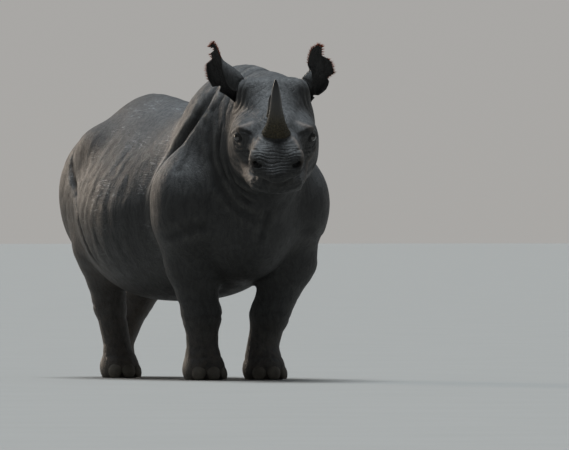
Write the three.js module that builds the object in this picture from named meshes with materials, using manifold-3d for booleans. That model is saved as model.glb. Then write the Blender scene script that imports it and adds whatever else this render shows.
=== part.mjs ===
// A black rhinoceros (Diceros bicornis), life size, as a still model that stands on its four feet.
// It has stopped in mid-stride, with one hind leg trailing and its head up and turned to its right.
//
// Frame: millimetres, +Z up, floor at Z = 0. The animal's trunk faces -Y, and its left side is +X.
// The flesh is one smooth field, negative inside. It is meshed region by region, each at its own
// fineness, and parted with thin cuts into trunk, neck, head, legs, feet and tail.
import * as THREE from "three";
import { mergeVertices } from "three/addons/utils/BufferGeometryUtils.js";
import Module from "manifold-3d";

const wasm = await Module();
wasm.setup();

// ---------------------------------------------------------------- driving dimensions
const GAP = 0.6; // width of the cuts that part one node from the next
const HEAD_JOINT = [-18, -1095, 1290]; // where the skull meets the neck
const HEAD_YAW = 24; // degrees that the head turns to the animal's right
const HEAD_PITCH = 20; // degrees that the muzzle points below the horizon
const EYE_RADIUS = 23;
const FOOT_TOP = 132; // height of the cut between leg and foot
const FOOT_FORWARD = 8; // how far a foot's fleshy pad lies ahead of the point that it is placed by
const FORE_FOOT = { left: [176, -588], right: [-150, -577] };
const HIND_FOOT = { left: [85, 905], right: [-145, 412] };
const SIDES = { left: 1, right: -1 };

// Fineness of the surfaces: the size of a facet, in mm
const FACET = { trunk: 126, neck: 98, head: 46, leg: 80, foot: 60 };

// ---------------------------------------------------------------- fields
const mix = (a, b, t) => a + (b - a) * t;
const clamp = (v, low, high) => Math.min(high, Math.max(low, v));
const radians = (degrees) => (degrees * Math.PI) / 180;

// Union of two fields with a fillet about k mm wide.
function blend(a, b, k) {
  const h = Math.max(k - Math.abs(a - b), 0) / k;
  return Math.min(a, b) - (h * h * k) / 4;
}

const carve = (a, b, k) => -blend(-a, b, k);

// An ellipsoid; pitch tips its top towards +Y, and yaw turns it about the vertical.
function ball([cx, cy, cz], [rx, ry, rz], { pitch = 0, yaw = 0 } = {}) {
  const [cp, sp] = [Math.cos(radians(pitch)), Math.sin(radians(pitch))];
  const [cw, sw] = [Math.cos(radians(yaw)), Math.sin(radians(yaw))];
  return (x, y, z) => {
    const [px, py, pz] = [x - cx, y - cy, z - cz];
    const qx = cw * px + sw * py;
    const qt = cw * py - sw * px;
    const qy = cp * qt - sp * pz;
    const qz = sp * qt + cp * pz;
    const near = Math.hypot(qx / rx, qy / ry, qz / rz);
    const slope = Math.hypot(qx / rx ** 2, qy / ry ** 2, qz / rz ** 2);
    return slope ? (near * (near - 1)) / slope : -Math.min(rx, ry, rz);
  };
}

// A tapered rod with round ends; wide scales it sideways.
function limb(a, b, ra, rb, wide = 1) {
  const d = [b[0] - a[0], b[1] - a[1], b[2] - a[2]];
  const dd = d[0] ** 2 + d[1] ** 2 + d[2] ** 2;
  return (x, y, z) => {
    const p = [x - a[0], y - a[1], z - a[2]];
    const t = clamp((p[0] * d[0] + p[1] * d[1] + p[2] * d[2]) / dd, 0, 1);
    return Math.hypot((p[0] - t * d[0]) / wide, p[1] - t * d[1], p[2] - t * d[2]) - mix(ra, rb, t);
  };
}

// Value of a smooth curve through rows of [place, value, value ...] at y.
function along(rows, y) {
  if (y <= rows[0][0]) return rows[0];
  const last = rows.length - 1;
  if (y >= rows[last][0]) return rows[last];
  const i = rows.findIndex((r) => r[0] > y) - 1;
  const [r0, r1, r2, r3] = [rows[Math.max(i - 1, 0)], rows[i], rows[i + 1], rows[Math.min(i + 2, last)]];
  const span = r2[0] - r1[0];
  const t = (y - r1[0]) / span;
  return r1.map((v, c) => {
    const m1 = ((r2[c] - r0[c]) / (r2[0] - r0[0])) * span;
    const m2 = ((r3[c] - r1[c]) / (r3[0] - r1[0])) * span;
    return (
      (2 * t ** 3 - 3 * t ** 2 + 1) * v + (t ** 3 - 2 * t ** 2 + t) * m1 +
      (3 * t ** 2 - 2 * t ** 3) * r2[c] + (t ** 3 - t ** 2) * m2
    );
  });
}

// The barrel of the trunk, as sections across Y:
// [y, top, bottom, half width, height of the widest place].
const BARREL = [
  [-1000, 1450, 850, 120, 1120],
  [-900, 1512, 690, 215, 1060],
  [-780, 1536, 560, 300, 1000],
  [-640, 1522, 470, 350, 950],
  [-500, 1446, 425, 388, 900],
  [-350, 1382, 402, 440, 860],
  [-200, 1362, 390, 480, 835],
  [0, 1396, 385, 496, 825],
  [220, 1428, 396, 464, 840],
  [400, 1424, 440, 404, 880],
  [560, 1362, 520, 366, 930],
  [720, 1282, 640, 286, 960],
  [860, 1185, 790, 170, 985],
];
const RIDGE_POWER = 1.55; // under 2, the back is a ridge
const BELLY_POWER = 2.05; // over 2, the belly is full
const REAR_BLUNT = 3; // how much blunter than a half ball the barrel's rear end is

function barrel(x, y, z) {
  const [at, top, bottom, half, waist] = along(BARREL, y);
  const up = z > waist;
  const power = up ? RIDGE_POWER : BELLY_POWER;
  const height = up ? top - waist : waist - bottom;
  const share = ((Math.abs(x) / half) ** power + (Math.abs(z - waist) / height) ** power) ** (1 / power);
  const section = Math.hypot(x, z - waist) * (1 - 1 / Math.max(share, 0.05));
  const past = (y - at) * (y > at ? REAR_BLUNT : 1);
  return Math.hypot(Math.max(section, 0), past) + Math.min(section, 0);
}

// ---------------------------------------------------------------- the body's masses
// Each form is [field, width of the fillet that joins it to those before it].
const union = (forms) => (x, y, z) => forms.reduce((d, [form, k]) => blend(d, form(x, y, z), k), Infinity);

const bothSides = (make) => Object.values(SIDES).flatMap(make);

const TRUNK = [
  [barrel, 1],
  [ball([0, 650, 960], [270, 262, 290]), 100], // rump
  [ball([0, -800, 790], [240, 210, 290], { pitch: -14 }), 120], // breast
  ...bothSides((s) => [
    [ball([s * 250, 390, 1150], [105, 150, 100]), 120], // point of the hip
  ]),
];

const NECK = [
  [limb([0, -740, 1225], [0, -1040, 1284], 300, 236, 0.88), 150],
  [limb([0, -760, 980], [-22, -1040, 1150], 250, 205, 0.92), 120], // throat
];

const SHOULDER_Y = { left: -708, right: -690 };
const ELBOW = { left: [286, -662, 590], right: [-230, -604, 590] };
const KNEE = { left: [205, -602, 325], right: [-157, -576, 325] };

function foreleg(side) {
  const s = SIDES[side];
  const [fx, fy] = FORE_FOOT[side];
  const knee = KNEE[side];
  const fetlock = [fx, fy + 8, 160];
  return [
    [limb([s * 236, -690, 930], [s * 88, -655, 1270], 172, 138), 110], // shoulder blade
    [ball([s * 284, SHOULDER_Y[side], 860], [174, 205, 235]), 100], // shoulder joint
    [limb([s * 264, -660, 760], ELBOW[side], 168, 128), 60], // upper arm
    [limb(ELBOW[side], knee, 128, 94), 50], // forearm
    [ball(knee, [95, 100, 84]), 30],
    [limb(knee, fetlock, 88, 80), 30], // cannon
    [ball([fx, fy - FOOT_FORWARD, 52], [106, 124, 100]), 60], // foot
  ];
}

const STIFLE = { left: [222, 560, 700], right: [-200, 470, 690] };
const THIGH_SWING = { left: 24, right: 0 }; // degrees
const HOCK = { left: [142, 812, 385], right: [-168, 474, 372] };

function hindleg(side) {
  const s = SIDES[side];
  const [fx, fy] = HIND_FOOT[side];
  const hock = HOCK[side];
  const fetlock = [mix(fx, hock[0], 0.1), mix(fy, hock[1], 0.1) + 10, 165];
  return [
    [ball([s * 168, 626, 905], [165, 240, 305], { pitch: -8 }), 100], // thigh
    [ball(STIFLE[side], [138, 165, 180], { pitch: THIGH_SWING[side] }), 80],
    [limb([STIFLE[side][0], STIFLE[side][1] + 30, 640], hock, 128, 80), 60], // gaskin
    [ball(hock, [72, 94, 90]), 30],
    [ball([hock[0], hock[1] + 58, hock[2] - 8], [38, 42, 62]), 40], // heel
    [limb(hock, fetlock, 76, 70), 30], // cannon
    [ball([fx, fy - FOOT_FORWARD, 50], [98, 116, 98]), 60], // foot
  ];
}

// ---------------------------------------------------------------- the head, in its own frame
// There +X is the animal's left, -Y is forward along the muzzle and +Z is up, from the skull's joint.
const toBody = new THREE.Matrix4()
  .makeRotationZ(-radians(HEAD_YAW))
  .multiply(new THREE.Matrix4().makeRotationX(radians(HEAD_PITCH)))
  .setPosition(...HEAD_JOINT);
const toHead = toBody.clone().invert().elements;

const HEAD = [
  [limb([-112, -34, 158], [112, -34, 158], 70, 70), 50], // poll, broad and flat between the ears
  [ball([0, -60, 4], [166, 170, 160]), 70],
  [limb([0, -60, 108], [0, -330, 40], 98, 84, 1.4), 60], // forehead, hollow in profile
  [limb([0, -300, 10], [0, -580, -6], 110, 82, 1.38), 60], // muzzle
  [limb([0, -150, -130], [0, -560, -112], 112, 60, 1.5), 60], // lower jaw
  [ball([0, -345, 86], [72, 62, 46]), 40], // boss of the rear horn
  [ball([0, -500, 46], [92, 100, 62]), 40], // boss of the front horn
  [ball([0, -632, -46], [122, 66, 60]), 40], // upper lip
  [ball([0, -686, -60], [46, 30, 32]), 40], // its gripping tip
  [ball([0, -604, -124], [114, 68, 46]), 26], // lower lip
  ...bothSides((s) => [
    [ball([s * 110, -160, -95], [112, 160, 168]), 60], // jowl
    [ball([s * 130, -225, -20], [78, 150, 100]), 50], // cheekbone
    [ball([s * 136, -318, 62], [54, 70, 36]), 36], // brow
    [ball([s * 86, -596, -6], [42, 62, 50]), 36], // flare of the nostril
    [limb([s * 60, -470, 48], [s * 84, -596, 10], 44, 42), 36], // edge of the muzzle, from horn to nostril
    [limb([s * 122, -240, -166], [s * 92, -565, -132], 58, 40), 40], // lower edge of the jaw
  ]),
];

const EYE = [180, -338, 26];
const SOCKET = [196, -342, 26];
const SOCKET_SIZE = [30, 34, 26];
const SOCKET_FILLET = 18;
const NOSTRIL = [106, -646, -2];
const NOSTRIL_SIZE = [16, 30, 14];
const NOSTRIL_FILLET = 14;
const CARVE_REACH = 60; // carving is worked out only this near the head's surface
const headMasses = union(HEAD);
const onBothSides = ([x, y, z], size) => union(bothSides((s) => [[ball([s * x, y, z], size), 1]]));
const sockets = onBothSides(SOCKET, SOCKET_SIZE);
const nostrils = onBothSides(NOSTRIL, NOSTRIL_SIZE);

function headAt(x, y, z) {
  const m = toHead;
  const hx = m[0] * x + m[4] * y + m[8] * z + m[12];
  const hy = m[1] * x + m[5] * y + m[9] * z + m[13];
  const hz = m[2] * x + m[6] * y + m[10] * z + m[14];
  const masses = headMasses(hx, hy, hz);
  if (masses > CARVE_REACH) return masses;
  const socketed = carve(masses, sockets(hx, hy, hz), SOCKET_FILLET);
  return carve(socketed, nostrils(hx, hy, hz), NOSTRIL_FILLET);
}

const bodyAt = union([
  ...TRUNK,
  ...NECK,
  ...Object.keys(SIDES).flatMap((side) => [...foreleg(side), ...hindleg(side)]),
]);

const HEAD_FILLET = 60;
const PROUD = 6; // how far the facets' corners stand out, so that their flats lie near the hide
const whole = (x, y, z) => Math.max(blend(bodyAt(x, y, z), headAt(x, y, z), HEAD_FILLET) - PROUD, -z);

// ---------------------------------------------------------------- meshing a field
// Moves a point onto the field's zero surface, along its slope.
function settle(field, p, reach) {
  for (let step = 0; step < 5; step += 1) {
    const value = field(...p);
    if (Math.abs(value) > reach) return;
    const h = 1;
    const slope = [0, 1, 2].map((axis) => {
      const [low, high] = [[...p], [...p]];
      low[axis] -= h;
      high[axis] += h;
      return (field(...high) - field(...low)) / (2 * h);
    });
    const size = Math.max(slope.reduce((sum, v) => sum + v * v, 0), 0.2);
    slope.forEach((v, axis) => (p[axis] -= (value * v) / size));
  }
}

// A cube's corners are numbered by their bits, x first. Each face lists its corners in a ring.
const CORNERS = [0, 1, 2, 3, 4, 5, 6, 7].map((c) => [c & 1, (c >> 1) & 1, (c >> 2) & 1]);
const CUBE_FACES = [[0, 2, 6, 4], [1, 3, 7, 5], [0, 1, 5, 4], [2, 3, 7, 6], [0, 1, 3, 2], [4, 5, 7, 6]];
const edgeName = (a, b) => Math.min(a, b) * 8 + Math.max(a, b);

// The patches of surface in a cube, each as the list of the cube edges that it crosses. On a face
// with two inside corners at opposite ends, the surface passes round each of them.
function patches(inside) {
  const patchOf = new Map();
  const join = (e, f) => {
    const merged = new Set([...(patchOf.get(e) ?? [e]), ...(patchOf.get(f) ?? [f])]);
    merged.forEach((g) => patchOf.set(g, merged));
  };
  for (const ring of CUBE_FACES) {
    const crossed = ring.map((a, i) => [a, ring[(i + 1) % 4]]).filter(([a, b]) => inside[a] !== inside[b]);
    const names = crossed.map(([a, b]) => edgeName(a, b));
    if (crossed.length === 2) join(...names);
    if (crossed.length < 4) continue;
    const offset = inside[ring[0]] ? 3 : 0;
    join(names[offset], names[(offset + 1) % 4]);
    join(names[(offset + 2) % 4], names[(offset + 3) % 4]);
  }
  return new Set(patchOf.values());
}

// The closed surface of a field inside a box, as an indexed geometry of facets about one cell wide.
// Each patch of surface in a cell gets a vertex, and each crossed grid edge a quad round it.
function surface(field, low, high, cell) {
  const n = low.map((v, i) => Math.ceil((high[i] - v) / cell) + 1);
  const index = (i, j, k) => i + n[0] * (j + n[1] * k);
  const values = new Float64Array(n[0] * n[1] * n[2]).fill(1);
  const eachCell = (first, visit) => {
    for (let k = first; k < n[2] - 1; k += 1)
      for (let j = first; j < n[1] - 1; j += 1)
        for (let i = first; i < n[0] - 1; i += 1) visit(i, j, k);
  };
  eachCell(1, (...at) => {
    values[index(...at)] = field(...at.map((steps, axis) => low[axis] + steps * cell)) || 1e-6;
  });

  const positions = [];
  const vertexOf = new Map();
  eachCell(0, (...at) => {
    const v = CORNERS.map((corner) => values[index(...at.map((steps, axis) => steps + corner[axis]))]);
    for (const patch of patches(v.map((value) => value < 0))) {
      const mean = at.map((steps, axis) => {
        const offsets = [...patch].map((edge) => {
          const [a, b] = [Math.floor(edge / 8), edge % 8];
          return mix(CORNERS[a][axis], CORNERS[b][axis], v[a] / (v[a] - v[b]));
        });
        return low[axis] + cell * (steps + offsets.reduce((sum, o) => sum + o, 0) / offsets.length);
      });
      settle(field, mean, cell);
      patch.forEach((edge) => vertexOf.set(index(...at) * 64 + edge, positions.length / 3));
      positions.push(...mean);
    }
  });

  const triangles = [];
  const distance = (a, b) => Math.hypot(...[0, 1, 2].map((c) => positions[3 * a + c] - positions[3 * b + c]));
  eachCell(0, (...at) => {
    for (let axis = 0; axis < 3; axis += 1) {
      const next = at.map((steps, a) => steps + Number(a === axis));
      const inside = values[index(...at)] < 0;
      if (inside === values[index(...next)] < 0) continue;
      const [b, c] = [(axis + 1) % 3, (axis + 2) % 3];
      const ring = [[1, 1], [0, 1], [0, 0], [1, 0]].map(([db, dc]) => {
        const home = [...at];
        home[b] -= db;
        home[c] -= dc;
        const corner = (db << b) | (dc << c);
        return vertexOf.get(index(...home) * 64 + edgeName(corner, corner | (1 << axis)));
      });
      const [p, q, r, s] = inside ? ring : ring.reverse();
      triangles.push(...(distance(p, r) < distance(q, s) ? [p, q, r, p, r, s] : [p, q, s, q, r, s]));
    }
  });
  return indexed(positions, triangles);
}

// ---------------------------------------------------------------- solids
function indexed(positions, triangles) {
  return new THREE.BufferGeometry()
    .setAttribute("position", new THREE.Float32BufferAttribute(positions, 3))
    .setIndex(triangles);
}

function solid(geometry) {
  const bare = geometry.clone();
  ["normal", "uv"].forEach((name) => bare.deleteAttribute(name));
  const merged = mergeVertices(bare, 1e-3);
  return new wasm.Manifold(
    new wasm.Mesh({
      numProp: 3,
      vertProperties: new Float32Array(merged.attributes.position.array),
      triVerts: new Uint32Array(merged.index.array),
    }),
  );
}

function geometryOf(made) {
  const mesh = made.getMesh();
  return new THREE.BufferGeometry()
    .setAttribute("position", new THREE.BufferAttribute(new Float32Array(mesh.vertProperties), 3))
    .setIndex(new THREE.BufferAttribute(new Uint32Array(mesh.triVerts), 1));
}

// Everything on the side of a plane that the normal points to, set back by half a gap.
const FAR = 5000;
function beyond(point, normal) {
  const n = new THREE.Vector3(...normal).normalize();
  const turn = new THREE.Quaternion().setFromUnitVectors(new THREE.Vector3(0, 0, 1), n);
  const centre = new THREE.Vector3(...point).addScaledVector(n, FAR / 2 + GAP / 2);
  const box = new THREE.BoxGeometry(FAR, FAR, FAR);
  return solid(box.applyMatrix4(new THREE.Matrix4().compose(centre, turn, new THREE.Vector3(1, 1, 1))));
}

const headPoint = (x, y, z) => new THREE.Vector3(x, y, z).applyMatrix4(toBody).toArray();
const headDirection = (x, y, z) => new THREE.Vector3(x, y, z).transformDirection(toBody).toArray();

const minus = ([x, y, z]) => [-x, -y, -z];

// ---------------------------------------------------------------- the cuts
const HEAD_CUT = { at: headPoint(0, 44, 130), towards: headDirection(0, -1, 0.42) };
const NECK_CUT = { at: [0, -800, 1120], towards: [0, -1, 0.24] };

const FEET = {
  front_left: FORE_FOOT.left,
  front_right: FORE_FOOT.right,
  hind_left: HIND_FOOT.left,
  hind_right: HIND_FOOT.right,
};

// Each leg is what lies in a round-topped sleeve, from the elbow or stifle down through the foot.
const SLEEVE_TOP = {
  front_left: ELBOW.left,
  front_right: ELBOW.right,
  hind_left: STIFLE.left,
  hind_right: STIFLE.right,
};
const SLEEVE_RADIUS = { front: 196, hind: 226 };
const SLEEVE_MESH = [2, 12]; // divisions of each cap and round the axis
const SLEEVE_LENGTH = 1.3; // in terms of the distance from its top to the sole

function sleeve(name, grown) {
  const radius = SLEEVE_RADIUS[name.split("_")[0]] + grown;
  const top = new THREE.Vector3(...SLEEVE_TOP[name]);
  const sole = new THREE.Vector3(...FEET[name], 0);
  const axis = top.clone().sub(sole).multiplyScalar(SLEEVE_LENGTH);
  const heading = axis.clone().normalize();
  const turn = new THREE.Quaternion().setFromUnitVectors(new THREE.Vector3(0, 1, 0), heading);
  const middle = top.addScaledVector(axis, -0.5);
  const capsule = new THREE.CapsuleGeometry(radius, axis.length(), ...SLEEVE_MESH);
  capsule.applyMatrix4(new THREE.Matrix4().compose(middle, turn, new THREE.Vector3(1, 1, 1)));
  const outward = Math.sign(sole.x);
  return solid(capsule).intersect(beyond([-outward * grown, 0, 0], [outward, 0, 0]));
}

// ---------------------------------------------------------------- materials
const material = (color, roughness) => new THREE.MeshStandardMaterial({ color, roughness, metalness: 0 });
const HIDE = material(0x4a4745, 0.8);
const HORN = material(0x3a342c, 0.6);
const EYEBALL = material(0x120c08, 0.15);
const NAIL = material(0x4d463e, 0.6);

const rhino = new THREE.Group();
rhino.name = "black_rhinoceros";

function add(name, made, look) {
  const mesh = new THREE.Mesh(geometryOf(made), look);
  mesh.name = name;
  rhino.add(mesh);
}

// ---------------------------------------------------------------- trunk, neck and tail
// Each region is meshed in a box, given by its low and its high corner, that holds all of it.
const TRUNK_BOX = [[-700, -1250, 180], [700, 1250, 1750]];
const NECK_BOX = [[-560, -1500, 500], [520, -640, 1800]];

function trunk() {
  let made = solid(surface(whole, ...TRUNK_BOX, FACET.trunk));
  made = made.intersect(beyond(NECK_CUT.at, minus(NECK_CUT.towards)));
  made = made.subtract(tail(GAP));
  return largest(Object.keys(FEET).reduce((left, name) => left.subtract(sleeve(name, GAP)), made));
}

// The biggest body of a solid that a cut has left in several.
const largest = (made) => made.decompose().reduce((a, b) => (a.volume() > b.volume() ? a : b));

function neck() {
  const made = solid(surface(whole, ...NECK_BOX, FACET.neck));
  return largest(
    made
      .intersect(beyond(NECK_CUT.at, NECK_CUT.towards))
      .intersect(beyond(HEAD_CUT.at, minus(HEAD_CUT.towards)))
      .subtract(ear("left", EAR_ROOM))
      .subtract(ear("right", EAR_ROOM)),
  );
}

// The tail hangs from a thick root and ends in a flattened tuft. Its rows are
// [height, distance behind the origin, half width, half thickness].
const TAIL_ROWS = [
  [1165, 770, 70, 60],
  [1140, 860, 62, 52],
  [1088, 918, 48, 42],
  [1010, 952, 36, 32],
  [900, 966, 28, 25],
  [780, 966, 24, 22],
  [700, 962, 27, 20],
  [640, 960, 34, 18],
  [575, 958, 24, 13],
];
const TAIL_SIDES = 10;

function tail(grown) {
  const positions = [];
  const triangles = [];
  TAIL_ROWS.forEach(([z, y, wide, thick], row) => {
    const above = TAIL_ROWS[Math.max(row - 1, 0)];
    const below = TAIL_ROWS[Math.min(row + 1, TAIL_ROWS.length - 1)];
    const slope = Math.atan2(below[1] - above[1], above[0] - below[0]);
    const back = row ? 0 : grown;
    for (let i = 0; i < TAIL_SIDES; i += 1) {
      const angle = (2 * Math.PI * i) / TAIL_SIDES;
      const out = (thick + grown) * Math.sin(angle);
      positions.push(
        (wide + grown) * Math.cos(angle),
        y + out * Math.cos(slope) - back * Math.sin(slope),
        z + out * Math.sin(slope) + back * Math.cos(slope),
      );
      if (!row) continue;
      const [a, b] = [row * TAIL_SIDES + i, row * TAIL_SIDES + ((i + 1) % TAIL_SIDES)];
      triangles.push(a, b, b - TAIL_SIDES, a, b - TAIL_SIDES, a - TAIL_SIDES);
    }
  });
  for (let i = 2; i < TAIL_SIDES; i += 1) {
    const last = (TAIL_ROWS.length - 1) * TAIL_SIDES;
    triangles.push(0, i - 1, i, last, last + i, last + i - 1);
  }
  return solid(indexed(positions, triangles));
}

// ---------------------------------------------------------------- legs and feet
// How far, across and along, the box that a leg is meshed in reaches past its sole and its top
const LEG_MARGIN = [300, 330];
const LEG_HEIGHTS = [60, 980];
const FOOT_MARGIN = 190;
const FOOT_CEILING = 260; // height of the box that a foot is meshed in

function leg(name) {
  const top = SLEEVE_TOP[name];
  const sole = FEET[name];
  const low = LEG_MARGIN.map((margin, axis) => Math.min(sole[axis], top[axis]) - margin);
  const high = LEG_MARGIN.map((margin, axis) => Math.max(sole[axis], top[axis]) + margin);
  const made = solid(surface(whole, [...low, LEG_HEIGHTS[0]], [...high, LEG_HEIGHTS[1]], FACET.leg));
  return largest(made.intersect(sleeve(name, 0)).intersect(beyond([0, 0, FOOT_TOP], [0, 0, 1])));
}

// A foot is meshed as if its outline at the floor went on downwards, and is then cut flat for its sole.
function foot(name) {
  const [x, y] = FEET[name];
  const flesh = (px, py, pz) => (pz < FOOT_CEILING ? whole(px, py, Math.max(pz, 1)) : 1);
  const low = [x - FOOT_MARGIN, y - FOOT_MARGIN, -3 * FACET.foot];
  const high = [x + FOOT_MARGIN, y + FOOT_MARGIN, FOOT_CEILING];
  const made = solid(surface(flesh, low, high, FACET.foot))
    .intersect(beyond([0, 0, FOOT_TOP], [0, 0, -1]))
    .intersect(beyond([0, 0, -GAP / 2], [0, 0, 1]));
  return Object.values(NAIL_ANGLES).reduce((left, angle) => left.subtract(nail(name, angle, GAP)), made);
}

// Three nails sit in pockets round the front of each foot.
const NAIL_ANGLES = { outer: 44, middle: 0, inner: -44 };
const NAIL_SIZE = [36, 20, 40]; // half width, half thickness and half height
const NAIL_REACH = { front: [94, 113], hind: [87, 106] }; // across and along, from the middle of the foot
const NAIL_HEIGHT = 36; // of its middle over the floor
const NAIL_LEAN = 13; // degrees that its top tips back
const NAIL_MESH = [8, 4]; // divisions round and from pole to pole
const NAIL_EDGE = 3; // height of its lower edge, which is worn flat

function nail(name, angle, grown) {
  const [x, y] = FEET[name];
  const turn = radians(angle) * Math.sign(x);
  const [reachX, reachY] = NAIL_REACH[name.split("_")[0]];
  const blank = new THREE.SphereGeometry(1, ...NAIL_MESH).scale(...NAIL_SIZE.map((half) => half + grown));
  blank.rotateX(-radians(NAIL_LEAN)).rotateZ(turn);
  blank.translate(
    x + Math.sin(turn) * reachX,
    y - FOOT_FORWARD - Math.cos(turn) * reachY,
    NAIL_HEIGHT,
  );
  return solid(blank).intersect(beyond([0, 0, NAIL_EDGE - grown], [0, 0, 1]));
}

// ---------------------------------------------------------------- head, eyes and horns
const EYE_MESH = [10, 6]; // divisions round and from pole to pole
const HEAD_BOX = [[-550, -1940, 610], [290, -900, 1730]];

// Eyes, horns and ears sit in pockets in the head, grown a little past their own size.
function head() {
  const front = beyond(HEAD_CUT.at, HEAD_CUT.towards);
  const made = solid(surface(whole, ...HEAD_BOX, FACET.head)).intersect(front);
  const fittings = [
    ...Object.keys(SIDES).flatMap((side) => [eyeball(side, GAP), ear(side, EAR_ROOM)]),
    ...Object.values(HORNS).map((shape) => horn(shape, GAP)),
  ];
  return largest(fittings.reduce((left, fitting) => left.subtract(fitting), made));
}

function eyeball(side, grown) {
  const centre = headPoint(SIDES[side] * EYE[0], EYE[1], EYE[2]);
  return solid(new THREE.SphereGeometry(EYE_RADIUS + grown, ...EYE_MESH).translate(...centre));
}

// A horn is a tapered stack of rings on an axis that leans forward, then sweeps back. Sizes are
// half widths at its foot, in the head's frame.
const HORNS = {
  horn_front: { base: [0, -494, 108], height: 296, width: 72, depth: 76, lean: 150, sweep: 90, aside: -8 },
  horn_rear: { base: [-8, -334, 106], height: 144, width: 52, depth: 56, lean: 24, sweep: 8, aside: -16 },
};
const HORN_ROOT = 0.1; // share of its height that a horn reaches into its boss
const HORN_WAIST = 0.78; // how far the sides are drawn in between the flared base and the tip
const HORN_TAPER = 0.7; // under 1, the sides are full and the tip blunt
const HORN_BELLY = 0.8; // under 1, the drawn-in waist is low on the horn
const HORN_FLARE = 1.02; // radius at the root
const HORN_MESH = { rows: 8, sides: 12 };

function horn({ base, height, width, depth, lean, sweep, aside }, grown) {
  const profile = [new THREE.Vector2(0, -HORN_ROOT), new THREE.Vector2(HORN_FLARE, -HORN_ROOT)];
  for (let i = 0; i < HORN_MESH.rows; i += 1) {
    const t = i / HORN_MESH.rows;
    const waist = mix(1, HORN_WAIST, Math.sin(Math.PI * t ** HORN_BELLY));
    profile.push(new THREE.Vector2((1 - t) ** HORN_TAPER * waist, t));
  }
  profile.push(new THREE.Vector2(0, 1));
  const made = new THREE.LatheGeometry(profile, HORN_MESH.sides);
  made.rotateX(Math.PI / 2);
  const at = made.attributes.position;
  for (let i = 0; i < at.count; i += 1) {
    const t = at.getZ(i);
    at.setXYZ(
      i,
      base[0] + at.getX(i) * (width + grown) + aside * t,
      base[1] + at.getY(i) * (depth + grown) - lean * t + sweep * t * t,
      base[2] + t * height + (t > 0 ? grown : -grown),
    );
  }
  return solid(made.applyMatrix4(toBody));
}

// ---------------------------------------------------------------- ears
// An ear is a leaf rolled into a tube at its root and open as a cup above. Its rows are
// [height, half width, half depth, shift outwards, angle of the inner rim, angle of the outer rim],
// with the angles in degrees from the middle of its back. Old fights have torn the outer rim, and
// rim says how far out it still reaches, as [height, reach].
const EARS = {
  left: {
    root: [166, 6, 160],
    up: [0.31, 0.33, 0.9],
    rows: [
      [-70, 52, 50, 0, -180, 70],
      [-35, 56, 50, 5, -182, 66],
      [0, 66, 50, 18, -180, 78],
      [25, 72, 49, 29, -167, 72],
      [41, 72, 49, 33, -161, 70],
      [69, 66, 47, 40, -140, 66],
      [88, 64, 44, 46, -116, 64],
      [112, 76, 44, 43, -80, 60],
      [148, 73, 39, 32, -72, 54],
      [174, 58, 32, 16, -68, 50],
      [195, 44, 25, 8, -64, 48],
      [216, 20, 16, 3, -62, 46],
      [224, 9, 10, 4, -60, 45],
    ],
    rim: [
      [-30, 50], [-21, 49], [-17, 72], [0, 88], [25, 98], [61, 103], [80, 88], [115, 112],
      [128, 100], [160, 80], [172, 56], [176, 26], [211, 12], [224, 8],
    ],
  },
  right: {
    root: [-173, 9, 163],
    up: [-0.5, 0.3, 0.81],
    rows: [
      [-70, 52, 50, 0, -180, 92],
      [-25, 58, 52, 6, -186, 88],
      [10, 68, 50, 16, -190, 80],
      [48, 80, 49, 33, -178, 72],
      [74, 82, 49, 43, -167, 66],
      [98, 78, 47, 48, -160, 62],
      [123, 68, 44, 50, -146, 58],
      [150, 57, 39, 51, -121, 55],
      [176, 48, 32, 42, -100, 54],
      [202, 38, 25, 30, -90, 53],
      [226, 29, 19, 19, -90, 52],
      [254, 13, 12, 7, -90, 50],
    ],
    rim: [
      [10, 94], [31, 94], [42, 80], [50, 80], [64, 114], [108, 114], [148, 99], [178, 79],
      [183, 45], [212, 35], [216, 11], [228, 9], [242, 24], [254, 5],
    ],
  },
};
const EAR_THICK = [11, 6]; // at the middle and at the rim
const EAR_TIP_THIN = 0.75; // thickness at the tip, as a share of that at the root
const EAR_ROOM = 2 * GAP; // how far an ear's pocket is grown past the ear
const EAR_COLUMNS = 5;
const EAR_COAT = 8; // how far the coat stands out past the rim of the upper ear
const COAT_FROM = 40; // height at which that coat starts
const COAT_RISE = 80; // height over which it reaches its full length

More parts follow.
